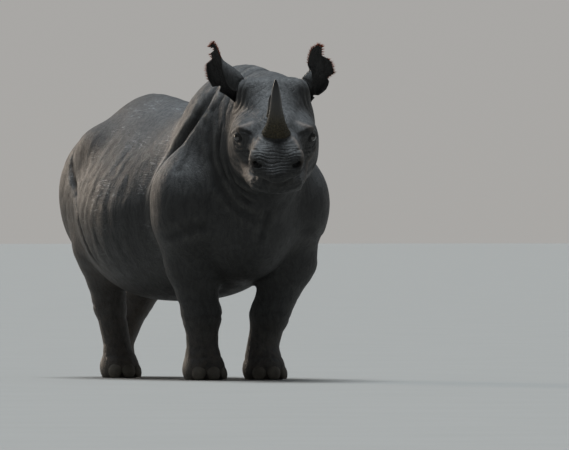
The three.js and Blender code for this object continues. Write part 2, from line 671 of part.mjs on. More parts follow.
function ear(side, grown) {
  const s = SIDES[side];
  const { root, up, rows, rim } = EARS[side];
  const axis = new THREE.Vector3(...up).normalize();
  const front = new THREE.Vector3(0, -1, 0);
  front.addScaledVector(axis, -front.dot(axis)).normalize();
  const out = new THREE.Vector3().crossVectors(axis, front).multiplyScalar(s);
  const heights = [rows[0][0], ...rim.map(([height]) => height)];
  const last = heights.length - 1;
  const point = (skin, row, column) => {
    const height = heights[row];
    const [, wide, deep, aside, inner, outer] = along(rows, height);
    const reach = row ? rim[row - 1][1] : Infinity;
    const torn = reach < aside + wide ? Math.asin((reach - aside) / wide) : Math.PI;
    const coat = EAR_COAT * clamp((height - COAT_FROM) / COAT_RISE, 0, 1);
    const margin = (grown + coat) / wide;
    const share = column / EAR_COLUMNS;
    const angle = mix(radians(inner) - margin, Math.min(radians(outer), torn) + margin, share);
    const away = Math.abs(2 * share - 1);
    const thick = mix(EAR_THICK[0], EAR_THICK[1], away) * mix(1, EAR_TIP_THIN, height / heights[last]);
    const offset = skin ? -thick - grown : grown;
    const lift = row === last ? coat : 0;
    return new THREE.Vector3(...root)
      .addScaledVector(axis, height + lift - (row ? 0 : grown))
      .addScaledVector(out, aside + (wide + offset) * Math.sin(angle))
      .addScaledVector(front, -(deep + offset) * Math.cos(angle))
      .applyMatrix4(toBody);
  };
  const positions = [];
  const triangles = [];
  for (const skin of [0, 1]) {
    for (let row = 0; row <= last; row += 1) {
      for (let column = 0; column <= EAR_COLUMNS; column += 1) positions.push(...point(skin, row, column));
    }
  }
  const id = (skin, row, column) => (skin * (last + 1) + row) * (EAR_COLUMNS + 1) + column;
  const quad = (a, b, c, d) => triangles.push(...(s > 0 ? [a, c, b, a, d, c] : [a, b, c, a, c, d]));
  for (let row = 0; row < last; row += 1) {
    for (let column = 0; column < EAR_COLUMNS; column += 1) {
      quad(id(0, row, column), id(0, row, column + 1), id(0, row + 1, column + 1), id(0, row + 1, column));
      quad(id(1, row, column), id(1, row + 1, column), id(1, row + 1, column + 1), id(1, row, column + 1));
    }
    quad(id(0, row, 0), id(0, row + 1, 0), id(1, row + 1, 0), id(1, row, 0));
    const rim = [id(0, row + 1, EAR_COLUMNS), id(0, row, EAR_COLUMNS)];
    quad(...rim, id(1, row, EAR_COLUMNS), id(1, row + 1, EAR_COLUMNS));
  }
  for (let column = 0; column < EAR_COLUMNS; column += 1) {
    quad(id(0, 0, column + 1), id(0, 0, column), id(1, 0, column), id(1, 0, column + 1));
    quad(id(0, last, column), id(0, last, column + 1), id(1, last, column + 1), id(1, last, column));
  }
  return solid(indexed(positions, triangles));
}

// ---------------------------------------------------------------- assembly
add("trunk", trunk(), HIDE);
add("neck", neck(), HIDE);
add("head", head(), HIDE);
add("tail", tail(0), HIDE);
for (const [name, shape] of Object.entries(HORNS)) add(name, horn(shape, 0), HORN);
for (const side of Object.keys(SIDES)) {
  add(`eye_${side}`, eyeball(side, 0), EYEBALL);
  add(`ear_${side}`, ear(side, 0), HIDE);
}
for (const name of Object.keys(FEET)) {
  add(`leg_${name}`, leg(name), HIDE);
  add(`foot_${name}`, foot(name), HIDE);
  for (const [place, angle] of Object.entries(NAIL_ANGLES)) {
    add(`nail_${name}_${place}`, nail(name, angle, 0), NAIL);
  }
}

// The origin is on the floor, under the middle of the model's bounding box.
const box = new THREE.Box3().setFromObject(rhino);
const middle = box.getCenter(new THREE.Vector3());
rhino.position.set(-middle.x, -middle.y, -box.min.z);

export default rhino;
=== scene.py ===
import math

import bpy
import numpy as np
from mathutils import Matrix, Vector, kdtree


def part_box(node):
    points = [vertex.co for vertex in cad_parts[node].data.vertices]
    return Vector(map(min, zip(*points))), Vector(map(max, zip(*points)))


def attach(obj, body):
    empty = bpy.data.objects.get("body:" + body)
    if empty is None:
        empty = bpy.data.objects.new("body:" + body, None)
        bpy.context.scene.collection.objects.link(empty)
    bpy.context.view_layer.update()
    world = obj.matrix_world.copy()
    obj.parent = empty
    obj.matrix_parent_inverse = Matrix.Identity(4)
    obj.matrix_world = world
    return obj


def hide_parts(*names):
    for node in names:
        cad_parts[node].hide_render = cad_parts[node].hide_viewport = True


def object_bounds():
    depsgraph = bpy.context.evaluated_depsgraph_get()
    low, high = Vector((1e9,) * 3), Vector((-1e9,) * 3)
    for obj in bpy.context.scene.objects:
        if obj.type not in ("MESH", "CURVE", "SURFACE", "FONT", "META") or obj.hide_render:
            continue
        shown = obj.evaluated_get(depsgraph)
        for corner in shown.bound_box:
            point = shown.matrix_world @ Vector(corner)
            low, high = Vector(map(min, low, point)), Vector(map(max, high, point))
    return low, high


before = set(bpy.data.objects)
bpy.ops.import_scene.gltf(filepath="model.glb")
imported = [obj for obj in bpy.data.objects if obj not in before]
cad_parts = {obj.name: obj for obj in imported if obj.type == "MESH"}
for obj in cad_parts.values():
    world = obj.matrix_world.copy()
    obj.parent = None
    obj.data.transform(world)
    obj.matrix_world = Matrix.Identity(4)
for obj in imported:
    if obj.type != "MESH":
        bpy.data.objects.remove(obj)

CAD_BOX = [list(corner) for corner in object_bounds()]
RANDOM = np.random.default_rng(7)

# ------------------------------------------------------------------ the CAD part's driving dimensions
HEAD_JOINT = (-18, -1095, 1290)
HEAD_YAW = 24
HEAD_PITCH = 20
EYE = (180, -338, 26)
FOOT_FORWARD = 8
SIDES = {"left": 1, "right": -1}
FORE_FOOT = {"left": (176, -588), "right": (-150, -577)}
HIND_FOOT = {"left": (85, 905), "right": (-145, 412)}
SHOULDER_Y = {"left": -708, "right": -690}
ELBOW = {"left": (286, -662, 590), "right": (-230, -604, 590)}
KNEE = {"left": (205, -602, 325), "right": (-157, -576, 325)}
STIFLE = {"left": (222, 560, 700), "right": (-200, 470, 690)}
THIGH_SWING = {"left": 24, "right": 0}
HOCK = {"left": (142, 812, 385), "right": (-168, 474, 372)}
FEET = {
    "front_left": FORE_FOOT["left"],
    "front_right": FORE_FOOT["right"],
    "hind_left": HIND_FOOT["left"],
    "hind_right": HIND_FOOT["right"],
}

# The barrel of the trunk, as sections across Y: y, top, bottom, half width, height of the widest place
BARREL = np.array([
    (-1000, 1450, 850, 120, 1120),
    (-900, 1512, 690, 215, 1060),
    (-780, 1536, 560, 300, 1000),
    (-640, 1522, 470, 350, 950),
    (-500, 1446, 425, 388, 900),
    (-350, 1382, 402, 440, 860),
    (-200, 1362, 390, 480, 835),
    (0, 1396, 385, 496, 825),
    (220, 1428, 396, 464, 840),
    (400, 1424, 440, 404, 880),
    (560, 1362, 520, 366, 930),
    (720, 1282, 640, 286, 960),
    (860, 1185, 790, 170, 985),
], float)
RIDGE_POWER = 1.55
BELLY_POWER = 2.05
REAR_BLUNT = 3


def mix(a, b, t):
    return a + (b - a) * t


def fade(value, low, high):
    """0 below low, 1 above high, and smooth between."""
    t = np.clip((value - low) / (high - low), 0, 1)
    return t * t * (3 - 2 * t)


def bump(distance, width):
    """1 at no distance, falling smoothly to nothing a few widths away."""
    return np.exp(-((distance / width) ** 2))


def unit(v):
    return np.array(v, float) / np.linalg.norm(v)


def turned(a, b, angle):
    """Two coordinates turned by an angle, from the first towards the second."""
    return a * math.cos(angle) - b * math.sin(angle), a * math.sin(angle) + b * math.cos(angle)


# ------------------------------------------------------------------ fields, negative inside
# A form is (its field, its centre, how far from there it reaches).
def blend(a, b, k):
    h = np.maximum(k - np.abs(a - b), 0) / k
    return np.minimum(a, b) - h * h * k / 4


def carve(a, b, k):
    return -blend(-a, b, k)


def ball(centre, radii, pitch=0, yaw=0):
    def value(p):
        x, y, z = (p - np.array(centre, float)).T
        x, y = turned(x, y, -math.radians(yaw))
        y, z = turned(y, z, math.radians(pitch))
        near = np.sqrt((x / radii[0]) ** 2 + (y / radii[1]) ** 2 + (z / radii[2]) ** 2)
        slope = np.sqrt((x / radii[0] ** 2) ** 2 + (y / radii[1] ** 2) ** 2 + (z / radii[2] ** 2) ** 2)
        return np.where(slope > 1e-9, near * (near - 1) / np.maximum(slope, 1e-9), -min(radii))

    return value, centre, max(radii)


def limb(a, b, ra, rb, wide=1.0):
    a, d = np.array(a, float), np.array(b, float) - np.array(a, float)

    def value(p):
        q = p - a
        t = np.clip(q @ d / (d @ d), 0, 1)
        x, y, z = (q - t[:, None] * d).T
        return np.sqrt((x / wide) ** 2 + y ** 2 + z ** 2) - mix(ra, rb, t)

    return value, a + d / 2, np.linalg.norm(d) / 2 + max(ra, rb) * max(wide, 1)


def along(rows, y):
    """Smooth curves through rows of (place, value, value ...), read at y: one column for each value."""
    at = rows[:, 0]
    last = len(rows) - 1
    y = np.clip(y, at[0], at[-1])
    i = np.clip(np.searchsorted(at, y, side="right") - 1, 0, last - 1)
    before, after = np.maximum(i - 1, 0), np.minimum(i + 2, last)
    span = at[i + 1] - at[i]
    t = ((y - at[i]) / span)[:, None]
    m1 = (rows[i + 1] - rows[before]) / (at[i + 1] - at[before])[:, None] * span[:, None]
    m2 = (rows[after] - rows[i]) / (at[after] - at[i])[:, None] * span[:, None]
    curve = (2 * t**3 - 3 * t**2 + 1) * rows[i] + (t**3 - 2 * t**2 + t) * m1
    curve += (3 * t**2 - 2 * t**3) * rows[i + 1] + (t**3 - t**2) * m2
    return curve[:, 1:]


def barrel_value(p):
    x, y, z = p.T
    at = np.clip(y, BARREL[0, 0], BARREL[-1, 0])
    top, bottom, half, waist = along(BARREL, y).T
    power = np.where(z > waist, RIDGE_POWER, BELLY_POWER)
    height = np.where(z > waist, top - waist, waist - bottom)
    share = ((np.abs(x) / half) ** power + (np.abs(z - waist) / height) ** power) ** (1 / power)
    section = np.hypot(x, z - waist) * (1 - 1 / np.maximum(share, 0.05))
    past = (y - at) * np.where(y > at, REAR_BLUNT, 1)
    return np.hypot(np.maximum(section, 0), past) + np.minimum(section, 0)


FAR = 1e3  # the field's value where no form reaches
FORM_MARGIN = 40  # how far beyond its fillet a form is worked out


def union(forms, p):
    """The forms joined with fillets, where each is worked out only for the points that it can reach."""
    value = np.full(len(p), FAR)
    for (form, centre, reach), k in forms:
        near = np.flatnonzero(((p - np.array(centre)) ** 2).sum(1) < (reach + k + FORM_MARGIN) ** 2)
        value[near] = blend(value[near], form(p[near]), k)
    return value


def foreleg(side):
    s = SIDES[side]
    fx, fy = FORE_FOOT[side]
    knee, fetlock = KNEE[side], (fx, fy + 8, 160)
    return [
        (limb((s * 236, -690, 930), (s * 88, -655, 1270), 172, 138), 110),
        (ball((s * 284, SHOULDER_Y[side], 860), (174, 205, 235)), 100),
        (limb((s * 264, -660, 760), ELBOW[side], 168, 128), 60),
        (limb(ELBOW[side], knee, 128, 94), 50),
        (ball(knee, (95, 100, 84)), 30),
        (limb(knee, fetlock, 88, 80), 30),
        (ball((fx, fy - FOOT_FORWARD, 52), (106, 124, 100)), 60),
    ]


def hindleg(side):
    s = SIDES[side]
    fx, fy = HIND_FOOT[side]
    stifle, hock = STIFLE[side], HOCK[side]
    fetlock = (mix(fx, hock[0], 0.1), mix(fy, hock[1], 0.1) + 10, 165)
    return [
        (ball((s * 168, 626, 905), (165, 240, 305), pitch=-8), 100),
        (ball(stifle, (138, 165, 180), pitch=THIGH_SWING[side]), 80),
        (limb((stifle[0], stifle[1] + 30, 640), hock, 128, 80), 60),
        (ball(hock, (72, 94, 90)), 30),
        (ball((hock[0], hock[1] + 58, hock[2] - 8), (38, 42, 62)), 40),
        (limb(hock, fetlock, 76, 70), 30),
        (ball((fx, fy - FOOT_FORWARD, 50), (98, 116, 98)), 60),
    ]


def both_sides(make):
    return [form for s in SIDES.values() for form in make(s)]


BODY = [
    ((barrel_value, (0, 0, 0), 5000), 1),
    (ball((0, 650, 960), (270, 262, 290)), 100),
    (ball((0, -800, 790), (240, 210, 290), pitch=-14), 120),
    *both_sides(lambda s: [(ball((s * 250, 390, 1150), (105, 150, 100)), 120)]),
    (limb((0, -740, 1225), (0, -1040, 1284), 300, 236, 0.88), 150),
    (limb((0, -760, 980), (-22, -1040, 1150), 250, 205, 0.92), 120),
    *[form for side in SIDES for form in foreleg(side) + hindleg(side)],
]

HEAD = [
    (limb((-112, -34, 158), (112, -34, 158), 70, 70), 50),
    (ball((0, -60, 4), (166, 170, 160)), 70),
    (limb((0, -60, 108), (0, -330, 40), 98, 84, 1.4), 60),
    (limb((0, -300, 10), (0, -580, -6), 110, 82, 1.38), 60),
    (limb((0, -150, -130), (0, -560, -112), 112, 60, 1.5), 60),
    (ball((0, -345, 86), (72, 62, 46)), 40),
    (ball((0, -500, 46), (92, 100, 62)), 40),
    (ball((0, -632, -46), (122, 66, 60)), 40),
    (ball((0, -686, -60), (46, 30, 32)), 40),
    (ball((0, -604, -124), (114, 68, 46)), 26),
    *both_sides(lambda s: [
        (ball((s * 110, -160, -95), (112, 160, 168)), 60),
        (ball((s * 130, -225, -20), (78, 150, 100)), 50),
        (ball((s * 136, -318, 62), (54, 70, 36)), 36),
        (ball((s * 86, -596, -6), (42, 62, 50)), 36),
        (limb((s * 60, -470, 48), (s * 84, -596, 10), 44, 42), 36),
        (limb((s * 122, -240, -166), (s * 92, -565, -132), 58, 40), 40),
    ]),
]
SOCKETS = both_sides(lambda s: [(ball((s * 196, -342, 26), (30, 34, 26)), 1)])
NOSTRILS = both_sides(lambda s: [(ball((s * 106, -646, -2), (16, 30, 14)), 1)])
SOCKET_FILLET = 18
NOSTRIL_FILLET = 14
HEAD_FILLET = 60
HEAD_NEAR = 60  # how near to the head's masses its openings can change the field

TO_BODY = Matrix.Translation(HEAD_JOINT) @ Matrix.Rotation(-math.radians(HEAD_YAW), 4, "Z")
TO_BODY = np.array(TO_BODY @ Matrix.Rotation(math.radians(HEAD_PITCH), 4, "X"))
TO_HEAD = np.linalg.inv(TO_BODY)


def moved(points, matrix):
    return points @ matrix[:3, :3].T + matrix[:3, 3]


def flesh(p, open_head):
    """The whole body's flesh, where open_head makes the openings in the masses of the head."""
    head = moved(p, TO_HEAD)
    masses = union(HEAD, head)
    near = np.flatnonzero(masses < HEAD_NEAR)
    masses[near] = open_head(masses[near], head[near])
    return blend(union(BODY, p), masses, HEAD_FILLET)


def cad_openings(masses, head):
    carved = carve(masses, union(SOCKETS, head), SOCKET_FILLET)
    return carve(carved, union(NOSTRILS, head), NOSTRIL_FILLET)


def skin_field(p):
    """The flesh and its flat soles, the same as in the CAD part."""
    return np.maximum(flesh(p, cad_openings), -p[:, 2])


# ------------------------------------------------------------------ meshing the field
CORNERS = np.array([(c & 1, c >> 1 & 1, c >> 2 & 1) for c in range(8)])
CUBE_EDGES = [(a, a | 1 << axis) for axis in range(3) for a in range(8) if not a >> axis & 1]
BLOCK = 4  # cells of the fine grid in one of the coarse grid that finds where the surface is
NEAR_BLOCKS = 1.3  # how near the surface a coarse block is looked into, in blocks


def grid_values(field, low, size, cell):
    """The field's values on a grid of size points, worked out only near its zero surface."""
    coarse_size = (size - 1) // BLOCK + 1
    coarse_at = np.stack(np.meshgrid(*[np.arange(n) for n in coarse_size], indexing="ij"), -1)
    coarse = field((low + coarse_at.reshape(-1, 3) * cell * BLOCK)).reshape(coarse_size)
    near = np.abs(coarse) < NEAR_BLOCKS * cell * BLOCK
    n = coarse_size - 1
    touched = np.zeros(n, bool)
    for i, j, k in CORNERS:
        touched |= near[i:i + n[0], j:j + n[1], k:k + n[2]]
    wanted = np.zeros(size, bool)
    blocks = np.argwhere(touched) * BLOCK
    for step in np.ndindex(BLOCK + 1, BLOCK + 1, BLOCK + 1):
        wanted[tuple((blocks + step).T)] = True
    halfway = BLOCK // 2
    nearest_block = [np.minimum((np.arange(n) + halfway) // BLOCK, m - 1) for n, m in zip(size, coarse_size)]
    values = coarse[np.ix_(*nearest_block)]
    at = np.argwhere(wanted)
    found = field(low + at * cell)
    values[tuple(at.T)] = np.where(found == 0, 1e-6, found)
    return values


def surface_nets(field, low, high, cell):
    """The zero surface as (points, quads), with a point in each cell that it passes through."""
    low = np.array(low, float)
    size = (np.ceil((np.array(high) - low) / cell / BLOCK).astype(int)) * BLOCK + 1
    values = grid_values(field, low, size, cell)
    inside = values < 0
    n = size - 1
    count = np.zeros(n, int)
    for i, j, k in CORNERS:
        count += inside[i:i + n[0], j:j + n[1], k:k + n[2]]
    cells = np.argwhere((count > 0) & (count < 8))
    number = np.full(n, -1)
    number[tuple(cells.T)] = np.arange(len(cells))
    corner = [values[tuple((cells + offset).T)] for offset in CORNERS]
    total, crossings = np.zeros((len(cells), 3)), np.zeros((len(cells), 1))
    for a, b in CUBE_EDGES:
        crossed = ((corner[a] < 0) != (corner[b] < 0))[:, None]
        t = (corner[a] / np.where(corner[a] == corner[b], 1, corner[a] - corner[b]))[:, None]
        total += np.where(crossed, mix(CORNERS[a], CORNERS[b], t), 0)
        crossings += crossed
    points = low + cell * (cells + total / crossings)

    quads = []
    for axis in range(3):
        b, c = (axis + 1) % 3, (axis + 2) % 3
        start = [slice(None)] * 3
        end = [slice(None)] * 3
        start[axis], end[axis] = slice(0, -1), slice(1, None)
        at = np.argwhere(inside[tuple(start)] != inside[tuple(end)])
        step_b, step_c = np.eye(3, dtype=int)[b], np.eye(3, dtype=int)[c]
        ring = [at, at - step_b, at - step_b - step_c, at - step_c]
        quad = np.stack([number[tuple(r.T)] for r in ring], 1)
        flip = ~inside[tuple(at.T)]
        quad[flip] = quad[flip][:, ::-1]
        quads.append(quad)
    return points, np.concatenate(quads)


LEAST_SLOPE = 0.2  # squared, so that a flat stretch of the field moves nothing far


def slopes(field, p):
    return np.stack([(field(p + step) - field(p - step)) / 2 for step in np.eye(3)], 1)


def settle(field, p, rounds=2, most=6.0):
    """Moves points onto the field's zero surface."""
    for _ in range(rounds):
        slope = slopes(field, p)
        move = field(p)[:, None] * slope / np.maximum((slope**2).sum(1), LEAST_SLOPE)[:, None]
        length = np.linalg.norm(move, axis=1)[:, None]
        p = p - move * np.minimum(1, most / np.maximum(length, 1e-9))
    return p


def relaxed(points, quads):
    """Each point drawn halfway to the middle of its neighbours."""
    pairs = np.sort(np.stack([quads, np.roll(quads, -1, axis=1)], -1).reshape(-1, 2), axis=1)
    edges = np.unique(pairs, axis=0)
    total, count = np.zeros_like(points), np.zeros(len(points))
    for a, b in (edges.T, edges.T[::-1]):
        np.add.at(total, a, points[b])
        np.add.at(count, a, 1)
    return mix(points, total / np.maximum(count, 1)[:, None], 0.5)


def refined(points, faces, chosen):
    """Faces cut in four where all their edges are among the chosen points, with new points at the
    middles of edges. A face next to those gets the middles as extra corners. Faces are lists."""
    keys, middles = {}, []

    def middle(a, b):
        key = (a, b) if a < b else (b, a)
        if key not in keys:
            keys[key] = len(points) + len(middles)
            middles.append((points[a] + points[b]) / 2)
        return keys[key]

    made = []
    for face in faces:
        nexts = face[1:] + face[:1]
        halves = [middle(a, b) if chosen[a] and chosen[b] else None for a, b in zip(face, nexts)]
        if all(h is not None for h in halves) and len(face) == 4:
            centre = len(points) + len(middles)
            middles.append(points[face].mean(0))
            made += [[halves[i - 1], face[i], halves[i], centre] for i in range(4)]
        else:
            made.append([v for a, half in zip(face, halves) for v in ((a,) if half is None else (a, half))])
    fresh = np.array(middles).reshape(-1, 3)
    return np.concatenate([points, fresh]), made


# ------------------------------------------------------------------ from the body's frame to the row's
eye_low, eye_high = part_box("eye_left")
eye_in_body = moved(np.array([EYE], float), TO_BODY)[0]
SHIFT = np.array((eye_low + eye_high) / 2) - eye_in_body / 1000


def to_row(points):
    return points / 1000 + SHIFT


def new_mesh(name, points, faces):
    mesh = bpy.data.meshes.new(name)
    mesh.from_pydata([tuple(p) for p in to_row(points)], [], [list(f) for f in faces])
    mesh.validate()
    return mesh


def add_object(name, mesh):
    made = bpy.data.objects.new(name, mesh)
    bpy.context.scene.collection.objects.link(made)
    return made


def add_piece(name, mesh, material, slot, *nodes):
    """A piece of the model that stands for these CAD nodes."""
    piece = add_object(name, mesh)
    mesh.materials.append(material)
    mesh.shade_smooth()
    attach(piece, "root")
    if nodes:
        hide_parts(*nodes)
    return piece


# ------------------------------------------------------------------ the hide's own field: lids and nostrils
INSET = 2.0  # how far the plain hide lies inside the CAD part's flesh
EYE_AIM = 34  # degrees forward of straight sideways
LIDS = both_sides(lambda s: [(ball((s * 178, -336, 26), (27, 28, 27)), 12)])
SLITS = both_sides(lambda s: [(ball((s * 200, -359, 25), (20, 22, 12.5), yaw=-s * 44), 1)])
DEEP_NOSTRILS = both_sides(lambda s: [
    (ball((s * 109, -646, 0), (10, 36, 9), yaw=s * 20), 8),
    (ball((s * 94, -654, -8), (20, 18, 9)), 14),
])

LID_FILLET = 8
SLIT_FILLET = 3
DEEP_NOSTRIL_FILLET = 9


def hide_openings(masses, head):
    carved = carve(masses, union(SOCKETS, head), SOCKET_FILLET)
    carved = blend(carved, union(LIDS, head), LID_FILLET)
    carved = carve(carved, union(SLITS, head), SLIT_FILLET)
    return carve(carved, union(DEEP_NOSTRILS, head), DEEP_NOSTRIL_FILLET)


def hide_field(p):
    return np.maximum(flesh(p, hide_openings) + INSET, -p[:, 2])


BODY_BOX = ((-560, -1950, -30), (560, 1100, 1680))
BODY_CELL = 15.4
HEAD_REACH = ((0, -330, 20), 470)  # what is meshed twice as finely, as a ball in the head's frame
FACE_REACH = [((-1, 1), (165, -345, 30), 90), ((-1, 1), (70, -640, -40), 125)]  # and what four times


def body_mesh():
    """The hide without ears and tail, as points and faces, finer at the head and finest at the face."""
    points, quads = surface_nets(hide_field, *BODY_BOX, BODY_CELL)
    points = settle(hide_field, points, 1)
    points = settle(hide_field, relaxed(points, quads), 1)
    faces = quads.tolist()
    centre, reach = HEAD_REACH
    chosen = np.linalg.norm(moved(points, TO_HEAD) - centre, axis=1) < reach
    points, faces = refined(points, faces, chosen)
    head = moved(points, TO_HEAD)
    chosen = np.zeros(len(points), bool)
    for signs, (x, y, z), reach in FACE_REACH:
        for s in signs:
            chosen |= np.linalg.norm(head - (s * x, y, z), axis=1) < reach
    points, faces = refined(points, faces, chosen)
    near = np.linalg.norm(moved(points, TO_HEAD) - HEAD_REACH[0], axis=1) < HEAD_REACH[1] + 40
    points[near] = settle(hide_field, points[near], 2)
    return points, faces


# ------------------------------------------------------------------ ears
# An ear is a leaf rolled into a tube at its root and open as a cup above. Its rows are (height, half
# width, half depth, shift outwards, angle of the inner rim, angle of the outer rim), with the angles in
# degrees from the middle of its back. Old fights have torn the outer rim, and rim says how far out it
# still reaches, as (height, reach).
EARS = {
    "left": {
        "root": (166, 6, 160),
        "up": (0.31, 0.33, 0.9),
        "rows": [
            (-70, 52, 50, 0, -180, 70), (-35, 56, 50, 5, -182, 66), (0, 66, 50, 18, -180, 78),
            (25, 72, 49, 29, -167, 72), (41, 72, 49, 33, -161, 70), (69, 66, 47, 40, -140, 66),
            (88, 64, 44, 46, -116, 64), (112, 76, 44, 43, -80, 60), (148, 73, 39, 32, -72, 54),
            (174, 58, 32, 16, -68, 50), (195, 44, 25, 8, -64, 48), (216, 20, 16, 3, -62, 46),
            (224, 9, 10, 4, -60, 45),
        ],
        "rim": [(-32, 200), (-30, 50), (-21, 49), (-17, 72), (0, 88), (25, 98), (61, 103), (80, 88),
                (115, 112), (128, 100), (160, 80), (172, 56), (175, 26), (211, 12), (224, 8)],
    },
    "right": {
        "root": (-173, 9, 163),
        "up": (-0.5, 0.3, 0.81),
        "rows": [
            (-70, 52, 50, 0, -180, 92), (-25, 58, 52, 6, -186, 88), (10, 68, 50, 16, -190, 80),
            (48, 80, 49, 33, -178, 72), (74, 82, 49, 43, -167, 66), (98, 78, 47, 48, -160, 62),
            (123, 68, 44, 50, -146, 58), (150, 57, 39, 51, -121, 55), (176, 48, 32, 42, -100, 54),
            (202, 38, 25, 30, -90, 53), (226, 29, 19, 19, -90, 52), (254, 13, 12, 7, -90, 50),
        ],
        "rim": [(5, 200), (10, 94), (31, 94), (42, 80), (50, 80), (64, 114), (108, 114), (148, 99), (178, 79),
                (182, 45), (212, 35), (216, 11), (228, 9), (242, 24), (254, 5)],
    },
}
EAR_THICK = (10, 4)  # at the middle and at the rim


def ear_frame(side):
    """The ear's directions in the head's frame: along it, out of its opening, and outwards."""
    axis = unit(EARS[side]["up"])
    front = np.array((0, -1, 0), float)
    front = unit(front - axis * (front @ axis))
    return axis, front, np.cross(axis, front) * SIDES[side]


def ear_point(side, t, share, depth=0.0):
    """Points of an ear in the body's frame. t runs from 0 at its buried root to 1 at its tip, share from
    -1 at the inner rim to 1 at the outer, and depth from 0 on its back to 1 in its cup."""
    t, share, depth = np.broadcast_arrays(np.asarray(t, float), np.asarray(share, float), depth)
    t, share, depth = t.ravel(), share.ravel(), depth.ravel()
    axis, front, out = ear_frame(side)
    rows, rim = np.array(EARS[side]["rows"], float), np.array(EARS[side]["rim"], float)
    height = mix(rows[0, 0], rows[-1, 0], t)
    wide, deep, aside, inner, outer = along(rows, height).T
    reach = np.interp(height, rim[:, 0], rim[:, 1])
    torn = np.where(reach < aside + wide, np.arcsin(np.clip((reach - aside) / wide, -1, 1)), math.pi)
    angle = mix(np.radians(inner), np.minimum(np.radians(outer), torn), (share + 1) / 2)
    edge = np.abs(share)
    thick = mix(*EAR_THICK, edge) * mix(1, 0.75, np.clip(t, 0, 1)) * np.sqrt(np.clip(1.06 - edge**6, 0.05, 1))
    ribs = 1.8 * np.sin(share * 9) * fade(height, 20, 100) * fade(1 - edge, 0, 0.4) * depth
    offset = ribs - 1 - depth * thick
    head = (
        np.array(EARS[side]["root"], float)
        + axis * height[:, None]
        + out * (aside + (wide + offset) * np.sin(angle))[:, None]
        + front * (-(deep + offset) * np.cos(angle))[:, None]
    )
    return moved(head, TO_BODY)


def grid_faces(rows, columns, start=0, closed=False):
    """Quads of a grid of points, row by row; a closed one joins its last column to its first."""
    row, column = np.mgrid[0:rows - 1, 0:columns - (0 if closed else 1)]
    after = (column + 1) % columns
    a, b = row * columns + column, row * columns + after
    return (np.stack([a, b, b + columns, a + columns], -1).reshape(-1, 4) + start).tolist()


EAR_GRID = (110, 40)
EAR_TOP = 0.99  # the last row of the hide, below the tip


def ear_mesh(side):
    rows, columns = EAR_GRID
    t, share = np.meshgrid(np.linspace(0, EAR_TOP, rows), np.linspace(-1, 1, columns), indexing="ij")
    back, cup = ear_point(side, t, share, 0.0), ear_point(side, t, share, 1.0)
    count = rows * columns
    faces = grid_faces(rows, columns) + [f[::-1] for f in grid_faces(rows, columns, count)]
    for row in range(rows - 1):
        a, b = row * columns, (row + 1) * columns
        faces.append([a, b, b + count, a + count])
        a, b = a + columns - 1, b + columns - 1
        faces.append([b, a, a + count, b + count])
    for column in range(columns - 1):
        a, b = column, column + 1
        faces.append([b, a, a + count, b + count])
        a, b = a + count - columns, b + count - columns
        faces.append([a, b, b + count, a + count])
    if SIDES[side] > 0:
        faces = [f[::-1] for f in faces]
    return np.concatenate([back, cup]), faces


# ------------------------------------------------------------------ tail
# Rows of (height, distance behind the origin, half width, half thickness)
TAIL_ROWS = [
    (1165, 770, 68, 58),
    (1140, 860, 60, 50),
    (1088, 918, 46, 40),
    (1010, 952, 34, 30),
    (900, 966, 26, 23),
    (780, 966, 22, 20),
    (700, 962, 20, 16),
    (640, 960, 17, 11),
    (615, 959, 10, 7),
]
TAIL_GRID = (90, 28)


def tail_line(t):
    """The tail's middle, its two half sizes and its slope at shares t of the way down its rows."""
    rows = np.array([(i, *row) for i, row in enumerate(TAIL_ROWS)], float)
    z, y, wide, thick = along(rows, np.asarray(t) * (len(rows) - 1)).T
    slope = np.arctan2(np.gradient(y), -np.gradient(z))
    return z, y, wide, thick, slope


def tail_mesh():
    rows, sides = TAIL_GRID
    z, y, wide, thick, slope = [v[:, None] for v in tail_line(np.linspace(0, 1, rows))]
    angle = np.linspace(0, 2 * math.pi, sides, endpoint=False)[None]
    out = thick * np.sin(angle)
    points = np.stack(
        np.broadcast_arrays(wide * np.cos(angle), y + out * np.cos(slope), z + out * np.sin(slope)), -1
    ).reshape(-1, 3)
    faces = [f[::-1] for f in grid_faces(rows, sides, closed=True)]
    faces.append(list(range(sides)))
    faces.append(list(range((rows - 1) * sides, rows * sides))[::-1])
    return points, faces


# ------------------------------------------------------------------ the one hide
def joined(body, parts):
    """The body's mesh with closed parts joined to it."""
    base = add_object("hide_base", new_mesh("hide_base", *body))
    tools = []
    for i, part in enumerate(parts):
        tool = add_object(f"part_{i}", new_mesh(f"part_{i}", *part))
        joint = base.modifiers.new(tool.name, "BOOLEAN")
        joint.operation, joint.solver, joint.object = "UNION", "MANIFOLD", tool
        tools.append(tool)
    bpy.context.view_layer.update()
    evaluated = base.evaluated_get(bpy.context.evaluated_depsgraph_get())
    made = bpy.data.meshes.new_from_object(evaluated)
    for used in (base, *tools):
        mesh = used.data
        bpy.data.objects.remove(used)
        bpy.data.meshes.remove(mesh)
    return made


def add_numbers(mesh, name, values):
    mesh.attributes.new(name, "FLOAT", "POINT").data.foreach_set("value", values.astype(np.float32))


def read(items, key, width=3, kind=float):
    """What each of a mesh's items says under this key, one row each."""
    flat = np.empty(len(items) * width, kind)
    items.foreach_get(key, flat)
    return flat.reshape(-1, width)


def positions(mesh):
    return read(mesh.vertices, "co")


def set_positions(mesh, points):
    mesh.vertices.foreach_set("co", points.ravel())
    mesh.update()


